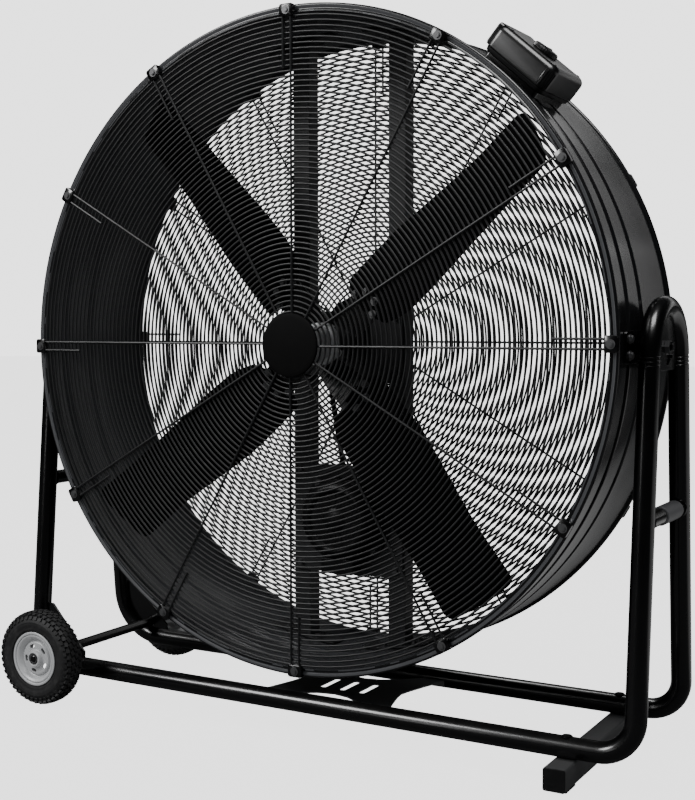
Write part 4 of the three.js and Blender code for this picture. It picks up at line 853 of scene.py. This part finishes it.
def buildDrum():
    newPiece("rolled_drum", drumShape(), "drumPaint", "drum", ("drum_shell",), 42)
    for name in ("left", "right"):
        refineNode(name + "_rail", "railPaint", "drum", 1.0)
        refineNode(name + "_drum_pivot", "framePaint", "drum", 0.9)
        refineNode(name + "_pivot_nut", "blackBolt", "drum", 0.8)
        for place in ("upper", "lower"):
            refineNode(place + "_" + name + "_rail_foot", "railPaint", "drum", 0.7)
    places = []
    for (x, z), up, y in product(((-143, 580), (-77, 592), (77, 592), (143, 580)), (-1, 1), (56, 80)):
        scale = 616.0 / hypot(x, z)
        places.append(((x * scale, y, axisZ + up * z * scale), (-x, 0, -up * z)))
    setFasteners("rail_foot_bolts", places, 6.0, 5.0, "drum")
    places = []
    for side, y, dz in product((-1, 1), (-100, 100), (14, -14)):
        places.append(((side * 629.3, y, axisZ + dz), (side, 0, 0)))
    setFasteners("pivot_bracket_bolts", places, 6.5, 4.5, "drum")
    print("drum built")


blade = {
    "count": 4, "phase": 47.9, "planeY": -57.0, "tip": 592.0, "tipFrom": 574, "tipCorner": 15,
    "cornerShare": 0.11, "root": 112.0, "rootArch": 18, "pitch": 19.3, "twist": 10.7, "mid": 349.3,
    "span": 250.0, "camber": 7.0, "camberFrom": 152, "camberOver": 150, "sheet": 1.5, "edgeShare": 0.55,
    "rib": 3.5, "ribAt": 0.42, "ribWidth": 0.05, "ribFrom": 150, "ribTo": 470, "ribEase": 60,
    "armMiddle": -22, "steps": (64, 26),
}
leadEdge = ((112, 42), (190, 36), (270, 27), (350, 8), (460, -20), (600, -42))
trailEdge = ((112, -72), (165, -107), (250, -123), (350, -136), (480, -159), (600, -188))


def edgeOffset(table, along):
    for (a, p), (b, q) in zip(table, table[1:]):
        if along <= b:
            u = max(0.0, (along - a) / (b - a))
            return p + (q - p) * u
    return table[-1][1]


def smoothEdge(table, along):
    return sum(edgeOffset(table, along + d) for d in (-24, -12, 0, 12, 24)) / 5


def bladePoint(along, across, behind):
    a = radians(blade["pitch"] + blade["twist"] * (along - blade["mid"]) / blade["span"])
    c, s = cos(a), sin(a)
    return Vector((along, blade["planeY"] + across * s + behind * c, across * c - behind * s))


def ramp(value):
    return min(1.0, max(0.0, value))


def bladeShape():
    nu, nv = blade["steps"]
    near, ease = blade["tipFrom"], blade["ribEase"]
    verts, faces = [], []
    for layer, j, i in product((-1, 1), range(nv + 1), range(nu + 1)):
        u, v = i / nu, j / nv
        tipAcross = edgeOffset(leadEdge, near) * (1 - v) + edgeOffset(trailEdge, near) * v
        inward = max(0.0, 1 - min(v, 1 - v) / blade["cornerShare"])
        corner = blade["tipCorner"] * (1 - sqrt(max(0.0, 1 - inward ** 2)))
        tip = sqrt(blade["tip"] ** 2 - tipAcross ** 2) - corner
        root = blade["root"] + blade["rootArch"] * (2 * v - 1) ** 2
        along = root + (tip - root) * u
        lead, trail = smoothEdge(leadEdge, along), smoothEdge(trailEdge, along)
        fade = ramp((along - blade["camberFrom"]) / blade["camberOver"])
        fade = fade * fade * (3 - 2 * fade)
        lift = blade["camber"] * fade * 4 * v * (1 - v)
        rib = blade["rib"] * exp(-((v - blade["ribAt"]) / blade["ribWidth"]) ** 2)
        rib = rib * ramp((along - blade["ribFrom"]) / ease) * ramp((blade["ribTo"] - along) / ease)
        thick = blade["sheet"] * (blade["edgeShare"] if i in (0, nu) or j in (0, nv) else 1.0)
        verts.append(bladePoint(along, lead + (trail - lead) * v, lift - rib + layer * thick))

    def face(*corners):
        faces.append([(layer * (nv + 1) + j) * (nu + 1) + i for layer, i, j in corners])

    for j, i in product(range(nv), range(nu)):
        face((0, i, j), (0, i, j + 1), (0, i + 1, j + 1), (0, i + 1, j))
        face((1, i, j), (1, i + 1, j), (1, i + 1, j + 1), (1, i, j + 1))
    for j in range(nv):
        face((0, 0, j + 1), (1, 0, j + 1), (1, 0, j), (0, 0, j))
        face((0, nu, j), (1, nu, j), (1, nu, j + 1), (0, nu, j + 1))
    for i in range(nu):
        face((0, i, 0), (0, i + 1, 0), (1, i + 1, 0), (1, i, 0))
        face((1, i, nv), (1, i + 1, nv), (0, i + 1, nv), (0, i, nv))
    return verts, faces


def armShape():
    edge = ((1.8, 0.8), (1.8, 0.0), (2.6, -0.3), (6.8, -0.3), (7.6, 0.0), (7.6, 0.8))
    widths = ((22, 20, 0), (60, 27, 0), (84, 33, 0), (126, 36, 0), (144, 34, 0), (151, 28, 0.6))
    middle, loops = blade["armMiddle"], []
    for along, half, low in widths:
        ring = [bladePoint(along, middle + half - inset, behind + low) for behind, inset in edge]
        ring += [bladePoint(along, middle - half + inset, behind + low) for behind, inset in edge[::-1]]
        loops.append(ring)
    return loft(loops)


def buildRotor():
    shape = bladeShape()
    arms, bolts = [], []
    for k in range(blade["count"]):
        place = about(axisZ, -radians(blade["phase"] + 90 * k))
        number = str(k + 1)
        turned = moved(shape, place)
        newPiece("pressed_blade_" + number, turned, "bladePaint", "rotor", ("blade_" + number,), 50)
        arms.append(moved(armShape(), place))
        inward = place.to_3x3() @ (bladePoint(200, 0, -1) - bladePoint(200, 0, 0))
        for along, across in ((122, 8), (122, -50), (142, -8), (142, -36)):
            bolts.append((place @ bladePoint(along, across, -1.5), inward))
    newPiece("hub_arms", joinShapes(*arms), "framePaint", "rotor", ("hub_spider",), 40)
    setFasteners("blade_bolts", bolts, 6.2, 5.0, "rotor")
    boss = [(13.2, -118), (29, -118), (31.5, -117), (33.4, -115), (34, -112), (34, -99), (33.2, -98),
            (33.2, -96), (34, -95), (34, -75), (36, -73), (41, -71.5), (42, -69.5), (42, -45),
            (40, -42.5), (29, -33), (27, -32), (13.2, -32)]
    newPiece("hub_boss", lathe(boss, 96, drumAxis), "hubMetal", "rotor")
    shaft = capped([(0, -114), (11.4, -114), (12.7, -112.5), (12.7, 132.5), (11.4, 134), (0, 134)])
    newPiece("turned_shaft", lathe(shaft, 48, drumAxis, False), "plated", "rotor", ("fan_shaft",))
    print("rotor built")


drive = {
    "motorZ": 398.0, "fanPitch": 94.0, "motorPitch": 32.0, "beltY": 115.0, "pulleyFrom": 106.0,
    "pulleyTo": 124.0,
}


def pulleyShape(pitch, bore, z, webbed):
    outer, root = pitch + 4, pitch - 4.5
    y0, y1 = drive["pulleyFrom"], drive["pulleyTo"]
    groove = [(outer - 0.6, y1), (outer, y1 - 0.6), (outer, y1 - 2.2), (root, y1 - 2.6), (root, y0 + 2.6),
              (outer, y0 + 2.2), (outer, y0 + 0.6), (outer - 0.6, y0)]
    if not webbed:
        collar = [(bore, y1), (outer - 8, y1), (outer - 6, y1 - 1)]
        return lathe(collar + groove + [(bore, y0)], 80, (0, 0, z))
    rim, hub = root - 6, bore + 13
    inner = [(rim, y0), (rim - 1, y0 + 3), (rim - 4, 111.2), (hub + 5, 111.2), (hub + 1, y0 + 2), (hub, y0),
             (bore, y0), (bore, y1), (hub, y1), (hub + 1, y1 - 2), (hub + 5, 118.8), (rim - 4, 118.8),
             (rim - 1, y1 - 3), (rim, y1)]
    return lathe(groove + inner, 96, (0, 0, z))


def beltShape():
    big, small, low = drive["fanPitch"], drive["motorPitch"], drive["motorZ"]
    slope = asin((big - small) / (axisZ - low))
    section = ((3.6, -5.6), (3.9, -5.0), (3.9, 5.0), (3.6, 5.6), (-3.2, 4.6), (-3.6, 4.0), (-3.6, -4.0),
               (-3.2, -4.6))
    rows = []
    for radius, z, start, turn, steps in ((big, axisZ, -slope, pi + 2 * slope, 48),
                                          (small, low, pi + slope, pi - 2 * slope, 24)):
        for k in range(steps + 1):
            a = start + turn * k / steps
            c, s = cos(a), sin(a)
            x, up = radius * c, z + radius * s
            rows.append([(x + c * out, drive["beltY"] + y, up + s * out) for out, y in section])
    return skin(rows, True)


def motorShapes():
    z = drive["motorZ"]
    casing = [(0, -2), (78, -2), (80, 0), (80, 38.4), (100, 38.7), (100, 44.4), (80, 44.7), (80, 72),
              (78, 78), (72, 84), (34, 92), (30, 92), (8.5, 92)]
    bell = [(0.001, -13.3), (9, -13.3), (12, -12), (20, -11.6), (24, -8.6), (54, -8.6), (57, -12.6),
            (60, -14.3), (65, -14.3), (68, -12.8), (74, -9), (77.5, -5), (79.6, -2.3), (70, -2.3),
            (0.001, -2.3)]
    section = ((-1.2, 0), (1.2, 0), (0.8, 3.6), (-0.8, 3.6))
    fin = loft([[(dx, y, 78.5 + up) for dx, up in section] for y in (3, 36)])
    corners = ((-2.6, 27), (2.6, 27), (2.6, 51), (-2.6, 51))
    vent = loft([[(dx * (0.55 + rise / 90), y, rise) for dx, rise in corners] for y in (-9.8, -7.6)])
    body, cover = (lathe(profile, 96, (0, 0, z), False) for profile in (capped(casing), bell))
    return joinShapes(body, *spun(fin, z, 40)), joinShapes(cover, *spun(vent, z, 18))


def buildDrive():
    for node, finish, width in (("bearing_plate", "railPaint", 0.8), ("motor_plate", "railPaint", 0.8),
                                ("front_bearing", "castMetal", 2.0), ("rear_bearing", "castMetal", 2.0),
                                ("terminal_box", "motorPaint", 1.4)):
        refineNode(node, finish, "drum", width, 3)
    low = drive["motorZ"]
    body, cover = motorShapes()
    big = pulleyShape(drive["fanPitch"], 13.0, axisZ, True)
    small = pulleyShape(drive["motorPitch"], 8.3, low, False)
    stub = lathe(capped([(0, 76), (8, 76), (8, 128.8), (6.8, 130), (0, 130)]), 36, (0, 0, low), False)
    for name, shape, finish, part, node, angle in (
        ("finned_motor", body, "motorPaint", "drum", "motor_casing", 35),
        ("motor_front_cover", cover, "motorPaint", "drum", "motor_end_bell", 35),
        ("belt", beltShape(), "rubber", "drum", "drive_belt", 50),
        ("large_pulley", big, "castMetal", "rotor", "fan_pulley", 35),
        ("small_pulley", small, "castMetal", "motor_rotor", "motor_pulley", 35),
        ("motor_stub_shaft", stub, "plated", "motor_rotor", "motor_shaft", 35),
    ):
        newPiece(name, shape, finish, part, (node,), angle)
    places = [((x, 44.7, z), (0, -1, 0)) for z, x in product((490, 296, 800, 700), (-110, 110))]
    for dx, dz in product((-62, 62), repeat=2):
        places.append(((dx * 1.04, 38.6, low + dz * 1.04), (0, -1, 0)))
    for dx, dz in product((-34, 34), repeat=2):
        places += [((dx, 32.4, axisZ + dz), (0, -1, 0)), ((dx, 62.3, axisZ + dz), (0, 1, 0))]
    setFasteners("plate_bolts", places, 6.5, 5.0, "drum")
    print("drive built")


box = {
    "angle": 40.8, "base": 632.0, "tray": 9.0, "cover": 641.3, "top": 685.3, "length": 143.0, "depth": 148.0,
    "middleY": -36.0, "corner": 16.0, "edge": 13.0, "cheek": 11.0, "knob": 25.0, "knobHeight": 9.0, "ribs": 6,
}


def boxLoft(levels):
    loops = []
    for height, inset in levels:
        corner = max(2.0, box["corner"] - inset * 0.6)
        loop = roundedLoop(box["length"] - 2 * inset, box["depth"] - 2 * inset, corner, 10)
        loops.append([(x, box["middleY"] + y, height) for x, y in loop])
    return loft(loops)


def coverShape():  # drawn-in foot, straight wall, wide rounding along the upper edge
    low, high, edge = box["cover"], box["top"], box["edge"]
    levels = [(low, 1.2), (low + 0.8, 0.3), (low + 2, 0), (high - edge, 0)]
    for k in range(1, 9):
        a = radians(90 * k / 8)
        levels.append((high - edge + edge * sin(a), edge * (1 - cos(a))))
    return boxLoft(levels)


def cheekShape():  # the squared end, standing a little proud of the cover
    end, low, high = -box["length"] / 2, box["cover"], box["top"]
    loops = []
    for x, inset in ((end, 1.2), (end + 1.2, 0), (end + box["cheek"] - 1, 0), (end + box["cheek"], 0.8)):
        loop = roundedLoop(box["depth"] - 6 - 2 * inset, high - low - 2 * inset, 6.0, 6)
        loops.append([(x, box["middleY"] + y, (low + high) / 2 + z) for y, z in loop])
    return loft(loops)


def ribShapes():  # short upright ribs around the cover's front corner
    ribs = []
    r, low, top = box["corner"], box["cover"], box["top"] - box["edge"]
    cx, cy = box["length"] / 2 - r, box["middleY"] - box["depth"] / 2 + r
    for k in range(box["ribs"]):
        a = radians(-98 + 15 * k)
        c, s = cos(a), sin(a)
        loops = []
        for z, grow in ((low + 2, 0.1), (low + 4, 1.5), (top - 1, 1.5), (top + 2, 0.2)):
            ring = []
            for out, across in ((-0.8, -1.0), (grow, -0.7), (grow, 0.7), (-0.8, 1.0)):
                ring.append((cx + (r + out) * c - across * s, cy + (r + out) * s + across * c, z))
            loops.append(ring)
        ribs.append(loft(loops))
    return ribs


def knobShape():
    r, h, top, middle = box["knob"], box["knobHeight"], box["top"], box["middleY"]
    loops, grip = [], []
    for height, radius, wave in ((0.5, r - 1.2, 0), (1.2, r, 0), (2.4, r, 0.3), (h - 2.6, r - 0.8, 0.5),
                                 (h - 1.2, r - 1.8, 0.3), (h - 0.3, r - 3.4, 0)):
        ring = []
        for k, (c, s) in enumerate(around(120)):
            q = radius - (wave if k % 4 in (0, 1) else 0)
            ring.append((q * c, middle + q * s, top + height))
        loops.append(ring)
    for height, width, length in ((h - 0.6, 5.0, 40), (h + 1.0, 4.4, 39), (h + 1.6, 3.2, 37)):
        outline = roundedLoop(width, length, width / 2 - 0.1, 5)
        grip.append([(x, middle + y, top + height) for x, y in outline])
    return joinShapes(loft(loops), loft(grip))


def buildSwitchBox():
    place = about(axisZ, radians(box["angle"]))
    low, rim = box["base"], box["base"] + box["tray"]
    tray = boxLoft(((low, 6), (low + 1.2, 4.2), (low + 3, 3.2), (rim - 1, 2.2), (rim, 3.0)))
    cover = joinShapes(coverShape(), cheekShape(), *ribShapes())
    newPiece("switch_tray", moved(tray, place), "blackPlastic", "drum", ("switch_box",), 40)
    newPiece("switch_cover", moved(cover, place), "boxPlastic", "drum", ("switch_lid",), 40)
    newPiece("rotary_knob", moved(knobShape(), place), "blackPlastic", "knob", ("switch_knob",), 35)
    refineNode("switch_bracket", "framePaint", "drum", 0.8)
    refineNode("cable_gland", "blackPlastic", "drum", 0.6)
    turn = place.to_3x3() @ Vector((0, 0, 1))
    screws = []
    for sx, sy in product((-1, 1), repeat=2):
        screws.append((place @ Vector((sx * 52 + 3, box["middleY"] + sy * 58, box["top"] - 0.4)), turn))
    setFasteners("cover_screws", screws, 3.2, 1.0, "drum", "blackBolt", 14, 1.0)
    print("switch box built")


buildMaterials()
makeCamera()
makeStudio()
fastenerTree = makeFastenerTree()
buildStand()
buildWheels()
buildDrum()
buildGrilles()
buildRotor()
buildDrive()
buildSwitchBox()
